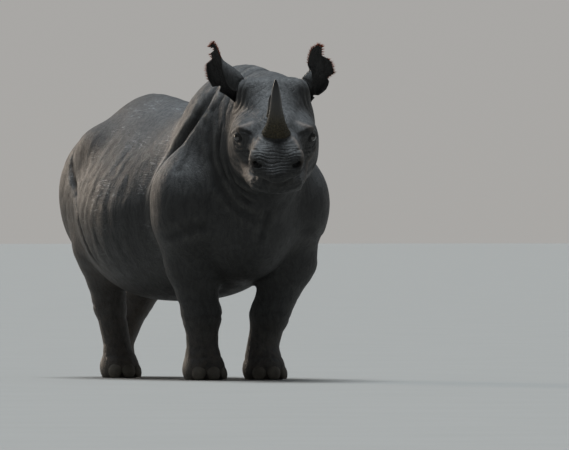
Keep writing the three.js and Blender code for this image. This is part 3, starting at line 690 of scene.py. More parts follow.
def smoothed(values, edges, rounds, weight):
    """Values drawn towards the middle of their neighbours', by a weight for each point."""
    count = np.bincount(edges.ravel(), minlength=len(values))[:, None]
    columns = values.reshape(len(values), -1)
    for _ in range(rounds):
        total = np.zeros_like(columns)
        for c in range(columns.shape[1]):
            total[:, c] = np.bincount(edges[:, 0], columns[edges[:, 1], c], len(values))
            total[:, c] += np.bincount(edges[:, 1], columns[edges[:, 0], c], len(values))
        columns = mix(columns, total / np.maximum(count, 1), np.asarray(weight).reshape(-1, 1))
    return columns.reshape(values.shape)


def from_line(p, line):
    """Each point's distance from a line through the given points, and how far along it that is, 0 to 1."""
    line = np.array(line, float)
    best, share = np.full(len(p), 1e9), np.zeros(len(p))
    for i, (a, b) in enumerate(zip(line[:-1], line[1:])):
        d = b - a
        t = np.clip((p - a) @ d / (d @ d), 0, 1)
        distance = np.linalg.norm(p - a - t[:, None] * d, axis=1)
        closer = distance < best
        best[closer], share[closer] = distance[closer], ((i + t) / (len(line) - 1))[closer]
    return best, share


LINE_STEPS = 2


def laid_on(field, line):
    """A line brought on to a surface, with LINE_STEPS points for each of its stretches."""
    line = np.array(line, float)
    at = np.linspace(0, len(line) - 1, (len(line) - 1) * LINE_STEPS + 1)
    close = np.stack([np.interp(at, np.arange(len(line)), axis) for axis in line.T], 1)
    return settle(field, close, rounds=6, most=12)


# ------------------------------------------------------------------ building the hide
HORNS = {
    "horn_front": dict(base=(0, -494, 108), height=296, width=72, depth=76, lean=150, sweep=90, aside=-8),
    "horn_rear": dict(base=(-8, -334, 106), height=144, width=52, depth=56, lean=24, sweep=8, aside=-16),
}
HORN_ROOT = 0.1
HORN_WAIST = 0.7
HORN_TAPER = 0.7
HORN_BELLY = 0.8

SHOULDER_FOLD = [
    (-150, -780, 1490), (-190, -800, 1440), (-240, -785, 1360), (-285, -745, 1275), (-330, -680, 1190),
    (-375, -590, 1110), (-410, -540, 1010), (-420, -520, 900), (-410, -520, 790), (-385, -530, 700),
    (-360, -545, 600), (-330, -540, 510),
]
FLANK_FOLD = [
    (-200, 610, 1290), (-300, 600, 1180), (-345, 560, 1070), (-385, 470, 985), (-430, 370, 925),
    (-445, 260, 820), (-450, 190, 700), (-415, 150, 600), (-345, 120, 510),
]
# Folds that are pressed in: line, depth, half width; each side has its own, as the animal stands
FOLDS = [
    (SHOULDER_FOLD, 44, 26),
    (FLANK_FOLD, 26, 19),
    ([(x * -1, y, z) for x, y, z in SHOULDER_FOLD], 26, 25),
    ([(x * -1, y + 10, z) for x, y, z in FLANK_FOLD], 20, 20),
    ([(-245, -975, 1290), (-250, -950, 1200), (-245, -945, 1110), (-215, -965, 1010), (-165, -1000, 920),
      (-60, -1030, 860)], 17, 15),
    ([(-220, -845, 1400), (-255, -880, 1250), (-260, -900, 1090), (-230, -940, 950), (-150, -985, 840),
      (-40, -1010, 780)], 9, 20),
    ([(235, -975, 1290), (255, -950, 1200), (245, -945, 1110), (215, -965, 1010), (130, -1000, 900)], 12, 14),
    ([(-435, -700, 700), (-410, -775, 712), (-375, -840, 735), (-320, -880, 750), (-255, -895, 750)], 9, 26),
    ([(190, -915, 745), (290, -885, 730), (370, -800, 710), (420, -720, 695)], 9, 26),
    ([(-225, -1015, 1290), (-245, -1025, 1200), (-235, -1015, 1110), (-210, -1000, 1040), (-180, -1000, 975),
      (-130, -1035, 930), (-50, -1060, 905)], 22, 15),
    ([(225, -1015, 1290), (245, -1025, 1200), (235, -1015, 1110), (210, -1000, 1040),
      (160, -1000, 965)], 16, 15),
    ([(-40, -960, 640), (-20, -1010, 760), (-15, -1040, 860)], 9, 16),
    ([(-330, -780, 1125), (-370, -790, 1070), (-400, -780, 1010)], 7, 16),
    ([(-175, -830, 1290), (-160, -900, 1400), (-90, -900, 1490)], 6, 13),
]


DEEP_FOLD = 20  # folds as deep as this fade out over more of their length
FACE_REGULAR = 9  # how far the slow noise bends the regular wrinkles, in mm
BODY_REGULAR = 14
TOE_SLIT = 22  # degrees between straight ahead and a slit between two toes


def wrinkles(at, spacing, power):
    """1 along creases that lie pi spacings apart, and less between them the higher the power."""
    return (1 - np.abs(np.sin(at / spacing))) ** power


def ends(share, first, last):
    """1 along a line, fading out towards its two ends."""
    return fade(share, -0.01, first) * fade(1 - share, -0.01, last)


def fold_depth(p, line, deep, wide, bend, end):
    """How far a line presses points in: deep along it, and less towards its ends."""
    distance, share = from_line(p, line)
    return deep * bump(distance + bend, wide) * ends(share, end, end)


def long_folds(p, bend):
    """The folds of the body, each with a low swelling beside it."""
    depth = np.zeros(len(p))
    for line, deep, wide in FOLDS:
        distance, share = from_line(p, laid_on(skin_field, line))
        fading = ends(share, 0.14, 0.14) if deep < DEEP_FOLD else ends(share, 0.45, 0.28)
        uneven = wide * (0.6 + 0.4 * np.sin(math.pi * share)) * (1 + 0.25 * np.sin(share * 19 + deep))
        depth += deep * bump(distance + bend * 0.7, uneven) * fading
        depth -= 0.12 * deep * bump(distance - wide * 1.8, wide) * fading
    return depth


def trunk_depth(p, bend):
    x, y, z = p.T
    # Rings of skin round the back of the neck, which lean forwards towards the throat
    on_neck = bump(y + 900, 190) * fade(z, 1120, 1330)
    depth = on_neck * 10 * wrinkles(y + 0.28 * (1450 - z) + 0.1 * x + bend * 1.3, 68 / math.pi, 2)
    # Faint ribs and long upright wrinkles on the flank
    flank = bump(y - 20, 420) * fade(np.abs(x), 260, 400) * fade(z, 430, 620) * fade(1330 - z, 0, 200)
    depth += flank * 3.4 * (0.5 + 0.5 * np.sin((y + 0.16 * (z - 900) + bend * 1.2) / 15))
    depth += flank * 4.0 * wrinkles(y - 0.22 * (z - 900) + bend * 2.6, 47, 4)
    rump = bump(y - 600, 260) * fade(z, 560, 760) * fade(1400 - z, 0, 160)
    depth += rump * 4.0 * wrinkles(y * 0.75 + 0.62 * z + bend * 2.4, 43, 4)
    # A cleft between the buttocks and a crease under each
    depth += 20 * bump(x, 22) * fade(y, 700, 800) * fade(z, 500, 620) * fade(1120 - z, 0, 120)
    for s in SIDES.values():
        crease = [(s * 30, 850, 760), (s * 120, 790, 700), (s * 210, 690, 690), (s * 280, 560, 720)]
        depth += fold_depth(p, crease, 10, 16, bend * 0.5, 0.3)
    # The backbone shows as a low chain of knobs
    spine = bump(x, 46) * fade(z, 1180, 1300) * fade(y, -620, -420)
    return depth + spine * 2.5 * (0.5 - 0.5 * np.cos(y / 17))


def leg_depth(p, bend, foot):
    """Rings round a leg, close together at its knee or hock and above its foot, and slits between toes."""
    x, y, z = p.T
    fx, fy = FEET[foot]
    end, side = foot.split("_")
    mx, my, mz = KNEE[side] if end == "front" else HOCK[side]
    up = np.clip(z / mz, 0, 1.6)
    reach = np.hypot(x - mix(fx, mx, up), y - mix(fy, my, up))
    leg = fade(215 - reach, 0, 60) * fade(620 - z, 0, 130)
    tilt = z + 0.18 * (y - fy) + bend * 0.8
    depth = leg * (5.5 * bump(z - mz, 85) + 0.8) * wrinkles(tilt, 24, 3)
    depth += leg * 6.5 * bump(z - 118, 40) * wrinkles(tilt, 17, 3)
    for turn in (-TOE_SLIT, TOE_SLIT):
        aside, behind = turned(x - fx, y - fy, -math.radians(turn) * np.sign(fx))
        slit = bump(aside, 9) * fade(-behind, 40, 90)
        depth += 7 * slit * fade(120 - z, 0, 70) * fade(170 - reach, 0, 20)
    return depth


def joint_depth(p, bend, side):
    """Creases over an elbow and a stifle."""
    s = SIDES[side]
    _, y, z = p.T
    elbow = np.linalg.norm(p - np.array(ELBOW[side]) - (s * 90, 0, 30), axis=1)
    stifle = np.linalg.norm(p - np.array(STIFLE[side]) - (s * 110, -60, -90), axis=1)
    depth = 5 * bump(elbow, 120) * wrinkles(z + 0.35 * y + bend, 22, 3)
    return depth + 5 * bump(stifle, 150) * wrinkles(z - 0.5 * y + bend, 25, 3)


def hide_depth(p, fine):
    """How far each point of the hide is pressed in, in mm, by its folds and wrinkles. fine is a slow
    noise of each point, which bends the regular ones."""
    bend = fine * BODY_REGULAR
    depth = long_folds(p, bend) + trunk_depth(p, bend)
    depth += sum(leg_depth(p, bend, foot) for foot in FEET)
    return depth + sum(joint_depth(p, bend, side) for side in SIDES)


# Creases of the face in the head's frame: line, depth, half width. Each is on both sides.
FACE_FOLDS = [
    ([(222, -330, 72), (198, -372, 78), (160, -410, 82), (132, -440, 74)], 5, 9),
    ([(214, -300, -14), (204, -350, -26), (178, -392, -24), (160, -410, -6)], 5, 7),
    ([(225, -290, -34), (214, -350, -52), (184, -405, -50), (154, -440, -26)], 4.5, 8),
    ([(226, -270, -60), (214, -340, -84), (184, -410, -84), (150, -460, -58)], 3.5, 8),
    ([(222, -290, 40), (228, -262, 20), (230, -240, -10)], 4, 7),
    ([(214, -262, 62), (226, -235, 40), (232, -210, 8)], 3.5, 8),
    ([(205, -180, -130), (196, -270, -150), (178, -360, -150), (160, -430, -130)], 5, 11),
    ([(210, -120, 90), (216, -160, 60), (222, -200, 20), (226, -215, -40)], 6, 11),
    ([(168, -470, 40), (150, -520, 20), (134, -560, -8), (128, -600, -34)], 5.5, 9),
    ([(146, -470, 66), (126, -530, 48), (104, -580, 36), (84, -612, 30)], 4.5, 8),
    ([(140, -600, 14), (143, -632, 18), (136, -664, 12), (120, -684, -4)], 4, 6),
    ([(140, -610, -34), (126, -650, -40), (104, -676, -34)], 4, 6),
    ([(138, -560, -100), (132, -610, -112), (112, -660, -124), (70, -696, -132)], 3.5, 6),
]
# Folds of the nape close behind the poll, from ear to ear: how far back, depth
NAPE_FOLDS = [(66, 24), (118, 12), (168, 9)]


def skin_part(head):
    """How far points in the head's frame are from the head's own masses, in mm."""
    return union(HEAD, head)


def on_head(line):
    """A line of the face, brought on to the skin of the head."""
    return laid_on(skin_part, line)


def on_left(head):
    """Points of the head, with those of its right side brought over to its left."""
    return np.abs(head) * (1, 0, 0) + head * (0, 1, 1)


def nape_line(back):
    rise = (back - NAPE_FOLDS[0][0]) * 0.25
    half = [(170, back - 20, 120 + rise), (120, back, 185 + rise), (60, back + 8, 222 + rise)]
    return [*[(-x, y, z) for x, y, z in half], (0, back + 10, 232 + rise), *half[::-1]]


def mouth_depth(x, y, z, bend):
    """The mouth and the wrinkles that end at it."""
    # Lowest at the tip of the upper lip, with a dip where it ends in the cheek
    mouth = z - (-94 + 18 * fade(x, 0, 110) - 0.16 * np.clip(y + 600, 0, 200))
    depth = mix(20, 9, fade(x, 84, 112)) * bump(mouth + bend * 0.15, 9) * fade(-y, 455, 500)
    depth -= 4 * bump(mouth + 20, 12) * fade(-y, 520, 560) * fade(110 - x, 0, 30)
    # Upright wrinkles down the cheeks
    cheek = fade(x, 92, 112) * fade(-y, 290, 360) * fade(y, -660, -620)
    cheek *= fade(-z, -20, 20) * fade(z, -180, -150) * fade(np.abs(mouth), 8, 34)
    return depth + cheek * 5.0 * wrinkles(0.5 * y + 0.8 * z - 0.3 * x + bend * 1.2, 6.4, 2)


def face_depth(h, fine):
    """The same for the head, from points in its own frame."""
    at = on_left(h)
    x, y, z = at.T
    bend = fine * FACE_REGULAR
    depth = mouth_depth(x, y, z, bend)
    for line, deep, wide in FACE_FOLDS:
        distance, share = from_line(at, on_head(line))
        groove = bump(distance + bend * 0.35, wide) - 0.25 * bump(distance - wide * 1.6, wide)
        depth += deep * groove * ends(share, 0.16, 0.16)
    # Wrinkles across the muzzle between the horn and the nostrils
    muzzle = fade(-y, 545, 575) * fade(z, -76, -50) * fade(130 - x, 0, 26)
    depth += muzzle * 3.0 * wrinkles(0.75 * y + 0.66 * z - 0.0012 * x * x + bend, 5.4, 2)
    # Longer ones that run down from the inner corner of each eye, and fine ones round it
    below = bump(x - 158, 44) * bump(y + 420, 90) * fade(z, -70, -40) * fade(80 - z, 0, 30)
    depth += below * 4.4 * wrinkles(x * 0.9 - y * 0.42 + bend * 1.4, 6.6, 2)
    eye = np.linalg.norm(at - EYE, axis=1)
    depth += bump(eye - 62, 24) * fade(30 - z, 0, 30) * 3.4 * wrinkles(eye + bend * 0.7, 6.2, 2)
    # Wrinkles between the eyes and on the forehead, which run aslant
    brow = fade(z, 60, 90) * bump(y + 200, 130)
    depth += brow * 3.6 * wrinkles(y + 0.42 * x + bend * 1.4, 13, 3)
    # Folds at the foot of each ear
    for side in SIDES:
        out = np.linalg.norm(h - EARS[side]["root"] + (0, 0, 20), axis=1)
        depth += 7 * bump(out - 92, 10) * fade(z, 20, 70)
        depth += 4 * bump(out - 122, 9) * fade(z, 10, 60)
    for back, deep in NAPE_FOLDS:
        depth += fold_depth(h, nape_line(back), deep, 17, bend * 0.4, 0.12)
    # A collar of rough skin round the foot of each horn
    for shape in HORNS.values():
        bx, by, _ = shape["base"]
        out = np.hypot((h[:, 0] - bx) / shape["width"], (y - by) / shape["depth"])
        depth += 5 * bump(out - 1.1, 0.09) * fade(z, 60, 90)
        depth += 2.5 * bump(out - 1.36, 0.1) * fade(z, 50, 80) * (1 + fine)
    # The lips and chin are warty
    warty = fade(-y, 480, 540) * fade(-z, 40, 90) * fade(108 - x, 0, 30)
    warts = np.sin(x / 6.1 + 3 * fine) * np.sin(z / 6.7) * np.sin(y / 7.3 + 2 * fine)
    return depth - warty * 2.0 * np.clip(warts * 1.6, -0.4, 1)


# Lines on the face where the skin stands up over bone and a painted highlight lies along it, in the head's
# frame
RIDGES = [
    [(66, -500, 108), (94, -530, 80), (112, -580, 48), (124, -620, 24), (130, -650, 0), (126, -676, -24)],
    [(96, -330, 122), (140, -360, 104), (176, -356, 88), (204, -340, 66), (214, -318, 40)],
    [(205, -290, -20), (196, -300, -62), (190, -345, -100), (176, -400, -135), (156, -460, -160),
     (134, -520, -172)],
]


def ridge_light(head):
    """1 along the bony ridges of the face."""
    light = np.zeros(len(head))
    for line in RIDGES:
        distance, share = from_line(on_left(head), on_head(line))
        light = np.maximum(light, bump(distance, 14) * ends(share, 0.2, 0.2))
    return light


def slow_noise(p, size):
    """A smooth noise between about -1 and 1, from a few crossed waves of about this size in mm."""
    total = np.zeros(len(p))
    waves = np.random.default_rng(11)
    for _ in range(9):
        way = waves.normal(size=3)
        way /= np.linalg.norm(way)
        total += np.sin(p @ way * (2 * math.pi / (size * waves.uniform(0.6, 1.7))) + waves.uniform(0, 6.28))
    return total / 4.2


OUTWARD_LIMIT = 6.0  # how far lips of folds, ridges and warts may stand out of the plain hide
SAME_POINT = 0.05  # how close a point of the joined mesh lies to the one that it comes from
FOLD_RANGE = 14  # the depth between a fold's bottom and its lip, as the painted shade and light tell them apart
SOLE_LEAST = 0.2  # how far above the floor the hide's soles stay


def nearest(points, targets, most):
    """The distance from each point to the nearest target, or most if there is none as near."""
    tree = kdtree.KDTree(len(targets))
    for i, target in enumerate(targets):
        tree.insert(target, i)
    tree.balance()
    low, high = targets.min(0) - most, targets.max(0) + most
    close = np.flatnonzero(((points > low) & (points < high)).all(1))
    distance = np.full(len(points), float(most))
    for i in close:
        found = tree.find(points[i])[2]
        if found < most:
            distance[i] = found
    return distance


def build_hide():
    body = body_mesh()
    ears = [ear_mesh(side) for side in SIDES]
    tail = tail_mesh()
    mesh = joined(body, [*ears, tail])
    start = (positions(mesh) - SHIFT) * 1000
    edges = read(mesh.edges, "vertices", 2, int)

    def among(points):
        """Which of the hide's points come from these."""
        return nearest(start, points, 1) < SAME_POINT

    # Where the ears and the tail grow out of the body there are points that come from none of them
    on_ear = among(np.concatenate([points for points, _ in ears]))
    on_tail, on_body = among(tail[0]), among(body[0])
    from_joint = nearest(start, start[~(on_ear | on_tail | on_body)], 60)
    p = smoothed(start, edges, 12, 0.6 * bump(from_joint, 13))
    set_positions(mesh, to_row(p))
    head = moved(p, TO_HEAD)
    of_head = fade(60 - skin_part(head), 0, 50)
    ear = smoothed(on_ear.astype(float), edges, 2, 0.5)
    ridge = ridge_light(head) * of_head

    depth = hide_depth(p, slow_noise(p, 150)) * (1 - of_head)
    depth += face_depth(head, slow_noise(head, 90)) * of_head
    depth = depth * (1 - ear) * (1 - smoothed(on_tail.astype(float), edges, 12, 0.5))
    depth = np.maximum(depth + 4.5 * bump(from_joint, 6.5) - 4 * ridge, -OUTWARD_LIMIT)
    depth = smoothed(depth * fade(p[:, 2], 1, 30), edges, 1, 0.3)
    moved_in = p - read(mesh.vertex_normals, "vector") * depth[:, None]
    moved_in[:, 2] = np.maximum(moved_in[:, 2], SOLE_LEAST)
    set_positions(mesh, to_row(moved_in))
    mesh.materials.clear()

    # A fold's bottom is 0, its lip 1 and plain hide a half; the hide's colour paints shade into the bottoms
    # and light on the lips
    level = smoothed(depth, edges, 30, 0.5)
    cups = np.concatenate([points[len(points) // 2:] for points, _ in ears])
    high = fade(p[:, 2], 300, 900) * mix(0.25, 1, fade(p[:, 1], -700, -450))
    numbers = {
        "fold": np.clip(0.5 - (depth - level) / FOLD_RANGE, 0, 1),
        "ear": ear,
        "muzzle": fade(-head[:, 1], 470, 600) * of_head,
        "ridge": ridge,
        "cup": smoothed(among(cups).astype(float), edges, 2, 0.5),
        "lid": bump(np.linalg.norm(on_left(head) - EYE, axis=1), 46) * of_head,
        "scuffed": high * (1 - of_head) * (1 - ear),
    }
    for name, values in numbers.items():
        add_numbers(mesh, name, values)
    return mesh


# ------------------------------------------------------------------ materials
def rgba(colour):
    """Red, green and blue, or one grey for all three, as the nodes want them."""
    return (*(colour if np.ndim(colour) else (colour,) * 3), 1)


class Nodes:
    """The nodes of a material or of the sky, with short ways to add and link them."""

    def __init__(self, tree):
        self.tree = tree

    def put(self, socket, value):
        """Sets an input to a constant, or links it to what another node gives."""
        if isinstance(value, bpy.types.NodeSocket):
            self.tree.links.new(value, socket)
        else:
            socket.default_value = value

    def fill(self, made, inputs):
        for key, value in inputs.items():
            self.put(made.inputs[key], value)
        return made

    def surface(self, inputs):
        self.fill(self.tree.nodes["Principled BSDF"], inputs)

    def add(self, kind, inputs=None, **settings):
        made = self.tree.nodes.new("ShaderNode" + kind)
        for name, value in settings.items():
            setattr(made, name, value)
        return self.fill(made, inputs or {})

    def coordinates(self, kind="Object"):
        return self.add("TexCoord").outputs[kind]

    def attribute(self, name):
        return self.add("Attribute", attribute_name=name).outputs["Fac"]

    def parts(self, vector):
        return self.add("SeparateXYZ", {"Vector": vector}).outputs

    def ramp(self, factor, *stops):
        """Colours along a factor, from stops of (place, grey or colour)."""
        made = self.add("ValToRGB", {"Fac": factor})
        elements = made.color_ramp.elements
        while len(elements) > 1:
            elements.remove(elements[-1])
        for i, (at, colour) in enumerate(stops):
            element = elements[0] if i == 0 else elements.new(at)
            element.position = at
            element.color = rgba(colour)
        return made.outputs["Color"]

    def mixed(self, factor, a, b, how="MIX"):
        made = self.add("Mix", data_type="RGBA", blend_type=how)
        factors = [s for s in made.inputs if s.name == "Factor" and s.type == "VALUE"]
        self.put(factors[0], factor)
        for key, value in (("A", a), ("B", b)):
            socket = next(s for s in made.inputs if s.name == key and s.type == "RGBA")
            self.put(socket, value if isinstance(value, bpy.types.NodeSocket) else rgba(value))
        return next(s for s in made.outputs if s.type == "RGBA")

    def times(self, a, b, factor=1.0):
        return self.mixed(factor, a, b, "MULTIPLY")

    def maths(self, how, a, b):
        made = self.add("Math", operation=how)
        for socket, value in zip(made.inputs, (a, b)):
            self.put(socket, value)
        return made.outputs[0]

    def noise(self, vector, scale, detail=4.0, roughness=0.55):
        inputs = {"Vector": vector, "Scale": scale, "Detail": detail, "Roughness": roughness}
        return self.add("TexNoise", inputs).outputs["Fac"]

    def from_edges(self, vector, scale):
        """How far each point is from the edge of the cell that it is in."""
        inputs = {"Vector": vector, "Scale": scale}
        return self.add("TexVoronoi", inputs, feature="DISTANCE_TO_EDGE").outputs["Distance"]

    def stretched(self, vector, scale, turn=(0, 0, 0)):
        return self.add("Mapping", {"Vector": vector, "Scale": scale, "Rotation": turn}).outputs["Vector"]

    def bumped(self, height, strength, distance, normal=None):
        inputs = {"Height": height, "Strength": strength, "Distance": distance}
        if normal is not None:
            inputs["Normal"] = normal
        return self.add("Bump", inputs).outputs["Normal"]


def new_material(name):
    material = bpy.data.materials.new(name)
    material.use_nodes = True
    return material, Nodes(material.node_tree)


RIDGE_HIGHLIGHT = (0.2, 0.16, 0.135)
SCRATCH = (0.4, 0.41, 0.42)
BROWN_DUST = (0.1, 0.074, 0.056)
MUD = (0.15, 0.125, 0.1)
# Painted shade in the ear cups and round the eyes, and on the muzzle painted shade over its darker skin:
# attribute, how strongly, what its colour is multiplied by
SHADED_PLACES = [
    ("cup", 0.45, (0.4, 0.33, 0.3)),
    ("lid", 0.85, (0.35, 0.32, 0.3)),
    ("muzzle", 0.5, (0.5, 0.5, 0.48)),
]


def hide_material():
    material, nodes = new_material("rhino_hide")
    at = nodes.coordinates()
    warped = nodes.mixed(0.06, at, nodes.add("TexNoise", {"Vector": at, "Scale": 11.0}).outputs["Color"])
    blotches = nodes.noise(at, 2.6, 6.0, 0.6)
    mottle = nodes.noise(at, 26.0, 6.0, 0.7)
    colour = nodes.ramp(blotches, (0.3, 0.036), (0.7, (0.076, 0.0765, 0.077)))
    tint = nodes.ramp(mottle, (0.28, (0.8, 0.78, 0.76)), (0.5, 1), (0.72, (1.2, 1.2, 1.19)))
    colour = nodes.times(colour, tint, 0.85)

    # The hide is cracked into small plates, in two sizes, and drawn into fine lines down the sides
    cracks = nodes.ramp(nodes.from_edges(warped, 84.0), (0.0, 0), (0.1, 0.75), (0.35, 1))
    grains = nodes.ramp(nodes.from_edges(warped, 230.0), (0.0, 0), (0.3, 1))
    lines = nodes.noise(nodes.stretched(warped, (22, 22, 4), (0.1, 0.25, 0)), 3.0, 3.0, 0.55)
    colour = nodes.times(colour, cracks, 0.22)
    colour = nodes.times(colour, nodes.ramp(lines, (0.38, 0.66), (0.6, (1.45, 1.44, 1.42))), 0.7)

    # Painted shade darkens the bottoms of the folds, and painted light brightens their lips
    shade = [(0.0, (0.32, 0.31, 0.3)), (0.42, 0.9), (0.55, 1.05), (0.75, (1.8, 1.76, 1.7))]
    colour = nodes.times(colour, nodes.ramp(nodes.attribute("fold"), *shade))
    # A warm painted highlight along the bony ridges of the face
    colour = nodes.mixed(nodes.maths("MULTIPLY", nodes.attribute("ridge"), 0.6), colour, RIDGE_HIGHLIGHT)
    # Painted shade darkens the ear cups, the skin round the eyes and the muzzle
    for name, share, dark in SHADED_PLACES:
        colour = nodes.times(colour, dark, nodes.maths("MULTIPLY", nodes.attribute(name), share))

    # Old scratches, whitish and long, most of them on the back and the upper flank
    scratch = nodes.noise(nodes.stretched(at, (30, 3, 34), (0.35, 0.1, 0.15)), 2.0, 1.0, 0.4)
    line = nodes.ramp(scratch, (0.482, 0), (0.5, 1), (0.518, 0))
    broken = nodes.ramp(nodes.noise(at, 5.0, 3.0), (0.5, 0), (0.62, 1))
    scuffs = nodes.maths("MULTIPLY", nodes.times(line, broken), nodes.attribute("scuffed"))
    colour = nodes.mixed(nodes.maths("MULTIPLY", scuffs, 0.6), colour, SCRATCH)
    # The hide is paler where it faces up, from pale dust and painted light, and painted shade darkens it
    # where it faces down
    up = nodes.maths("ADD", nodes.parts(nodes.coordinates("Normal"))["Z"], 1.0)
    dust_and_painted_light = [(0.2, (0.42, 0.42, 0.4)), (0.5, (0.54, 0.54, 0.53)), (0.64, 0.85), (0.85, (1.5, 1.52, 1.54))]
    colour = nodes.times(colour, nodes.ramp(nodes.maths("MULTIPLY", up, 0.5), *dust_and_painted_light))
    # Brown dust on the hindquarters, and mud on the feet
    place = nodes.parts(at)
    behind = nodes.ramp(place["Y"], (0.2, 0), (1.0, 0.5))
    behind = nodes.times(behind, nodes.ramp(mottle, (0.3, 0.3), (0.7, 1)))
    colour = nodes.mixed(behind, colour, BROWN_DUST)
    muddy = nodes.ramp(place["Z"], (0.06, 0.7), (0.32, 0))
    muddy = nodes.times(muddy, nodes.ramp(mottle, (0.35, 0.1), (0.65, 1)))
    colour = nodes.mixed(muddy, colour, MUD)

    normal = nodes.bumped(nodes.noise(at, 9.0, 3.0), 0.3, 0.006)
    for height, strength, distance in ((lines, 0.55, 0.006), (cracks, 0.45, 0.0022), (grains, 0.4, 0.0009)):
        normal = nodes.bumped(height, strength, distance, normal)
    nodes.surface({
        "Base Color": colour,
        "Roughness": nodes.ramp(mottle, (0.3, 0.46), (0.7, 0.7)),
        "Specular IOR Level": 0.4,
        "Normal": normal,
    })
    return material


def horn_material():
    material, nodes = new_material("rhino_horn")
    at = nodes.coordinates()
    height, fibres = nodes.attribute("height"), nodes.attribute("fibre")
    uneven = nodes.maths("MULTIPLY", nodes.maths("SUBTRACT", nodes.noise(at, 40.0, 4.0), 0.5), 0.35)
    upwards = [(0.0, (0.062, 0.052, 0.03)), (0.26, (0.058, 0.05, 0.031)), (0.44, (0.04, 0.036, 0.029)),
               (0.7, (0.024, 0.024, 0.025))]
    colour = nodes.ramp(nodes.maths("ADD", height, uneven), *upwards)
    streaks = nodes.ramp(nodes.noise(fibres, 60.0, 3.0), (0.3, 0.55), (0.7, (1.25, 1.2, 1.15)))
    colour = nodes.times(colour, streaks, 0.8)
    # The foot is rough, with pale grains
    grains = nodes.add("TexVoronoi", {"Vector": at, "Scale": 150.0}).outputs["Distance"]
    pale = nodes.ramp(grains, (0.1, (2.1, 2.0, 1.7)), (0.5, 0.75))
    rough = nodes.ramp(height, (0.18, 1), (0.42, 0))
    normal = nodes.bumped(nodes.times(rough, grains), 1.0, 0.006)
    nodes.surface({
        "Base Color": nodes.mixed(rough, colour, nodes.times(colour, pale)),
        "Roughness": nodes.ramp(height, (0.1, 0.8), (0.7, 0.34)),
        "Normal": nodes.bumped(nodes.noise(at, 220.0, 3.0), 0.4, 0.001, normal),
    })
    return material


def nail_material():
    material, nodes = new_material("rhino_nail")
    at = nodes.coordinates()
    patches = nodes.noise(at, 30.0, 5.0)
    ridges = nodes.noise(nodes.stretched(at, (60, 60, 10)), 6.0, 3.0)
    nodes.surface({
        "Base Color": nodes.ramp(patches, (0.3, (0.10, 0.088, 0.07)), (0.7, (0.2, 0.18, 0.15))),
        "Roughness": nodes.ramp(nodes.noise(at, 60.0), (0.3, 0.55), (0.7, 0.8)),
        "Normal": nodes.bumped(ridges, 0.5, 0.002),
    })
    return material


def eye_material():
    material, nodes = new_material("rhino_eye")
    spokes = nodes.noise(nodes.coordinates(), 300.0, 2.0)
    iris = nodes.ramp(nodes.attribute("aim"), (0.0, (0.02, 0.014, 0.01)), (0.7, (0.016, 0.01, 0.007)),
                      (0.88, (0.03, 0.018, 0.01)), (0.95, 0.003))
    nodes.surface({
        "Base Color": nodes.times(iris, nodes.ramp(spokes, (0.3, 0.5), (0.7, 1.2)), 0.5),
        "Roughness": 0.07,
        "Coat Weight": 1.0,
        "Coat Roughness": 0.03,
        "Normal": nodes.bumped(spokes, 0.05, 0.0005),
    })
    return material


# ------------------------------------------------------------------ horns
HORN_GRID = (150, 160)
HORN_SHORT = 1.0  # how much lower than the CAD part's a horn ends
HORN_START = -0.04  # where the frayed part begins, below the skin, as a share of the height


def around(sides):
    return np.linspace(0, 2 * math.pi, sides, endpoint=False)[None]


def horn_mesh(name):
    shape = HORNS[name]
    bx, by, bz = shape["base"]
    rows, sides = HORN_GRID
    t = np.concatenate([[-HORN_ROOT], np.linspace(HORN_START, 1, rows - 1)])[:, None]
    clear = np.clip(t, 0, 1)
    angle = around(sides)
    radius = (1 - clear) ** HORN_TAPER * mix(1, HORN_WAIST, np.sin(np.pi * clear**HORN_BELLY))
    # The foot is frayed into fibres and stepped by growth; the tip is worn smooth
    rough = fade(0.75 - clear, 0, 0.6)
    fibre = np.sin(angle * 23 + 3 * np.sin(angle * 5)) * 0.5 + np.sin(angle * 41 + 1.7) * 0.35
    rings = np.sin(clear * 95 + 1.2 * np.sin(angle * 3)) * fade(clear, 0, 0.03)
    radius = radius * (0.97 + rough * (0.03 * fibre + 0.014 * rings))
    x = bx + radius * np.cos(angle) * shape["width"] + shape["aside"] * t
    y = by + radius * np.sin(angle) * shape["depth"] - shape["lean"] * t + shape["sweep"] * t * t
    z = bz + t * (shape["height"] - HORN_SHORT) + 0 * angle
    # The last row has no width, and its first point is the tip
    points = np.stack([x, y, z], -1).reshape(-1, 3)[:(rows - 1) * sides + 1]
    last, tip = (rows - 2) * sides, (rows - 1) * sides
    faces = grid_faces(rows - 1, sides, closed=True)
    faces += [[last + i, last + (i + 1) % sides, tip] for i in range(sides)]
    faces.append(list(range(sides))[::-1])
    mesh = new_mesh(name, moved(points, TO_BODY), faces)
    add_numbers(mesh, "height", np.append(np.repeat(clear[:-1, 0], sides), 1.0))
    add_numbers(mesh, "fibre", np.append(np.tile(angle[0], rows - 1), 0.0))
    return mesh


# ------------------------------------------------------------------ eyes and nails
def with_poles(rings, sides):
    """Faces of a closed grid of rings, and fans to a point at each end, which come after its own."""
    count, last = rings * sides, (rings - 1) * sides
    faces = grid_faces(rings, sides, closed=True)
    faces += [[(i + 1) % sides, i, count] for i in range(sides)]
    return faces + [[last + i, last + (i + 1) % sides, count + 1] for i in range(sides)]


EYE_BALL = 21.0
EYE_BULGE = 0.05  # how far the clear front stands out, as a share of the ball
EYE_GRID = (40, 48)


def eye_centre(side):
    return np.array([SIDES[side] * EYE[0], EYE[1], EYE[2]], float)


def eye_way(side, rise):
    """The way an eye looks: out, a little forward, and up by this much."""
    aim = math.radians(EYE_AIM)
    return unit([SIDES[side] * math.cos(aim), -math.sin(aim), rise])


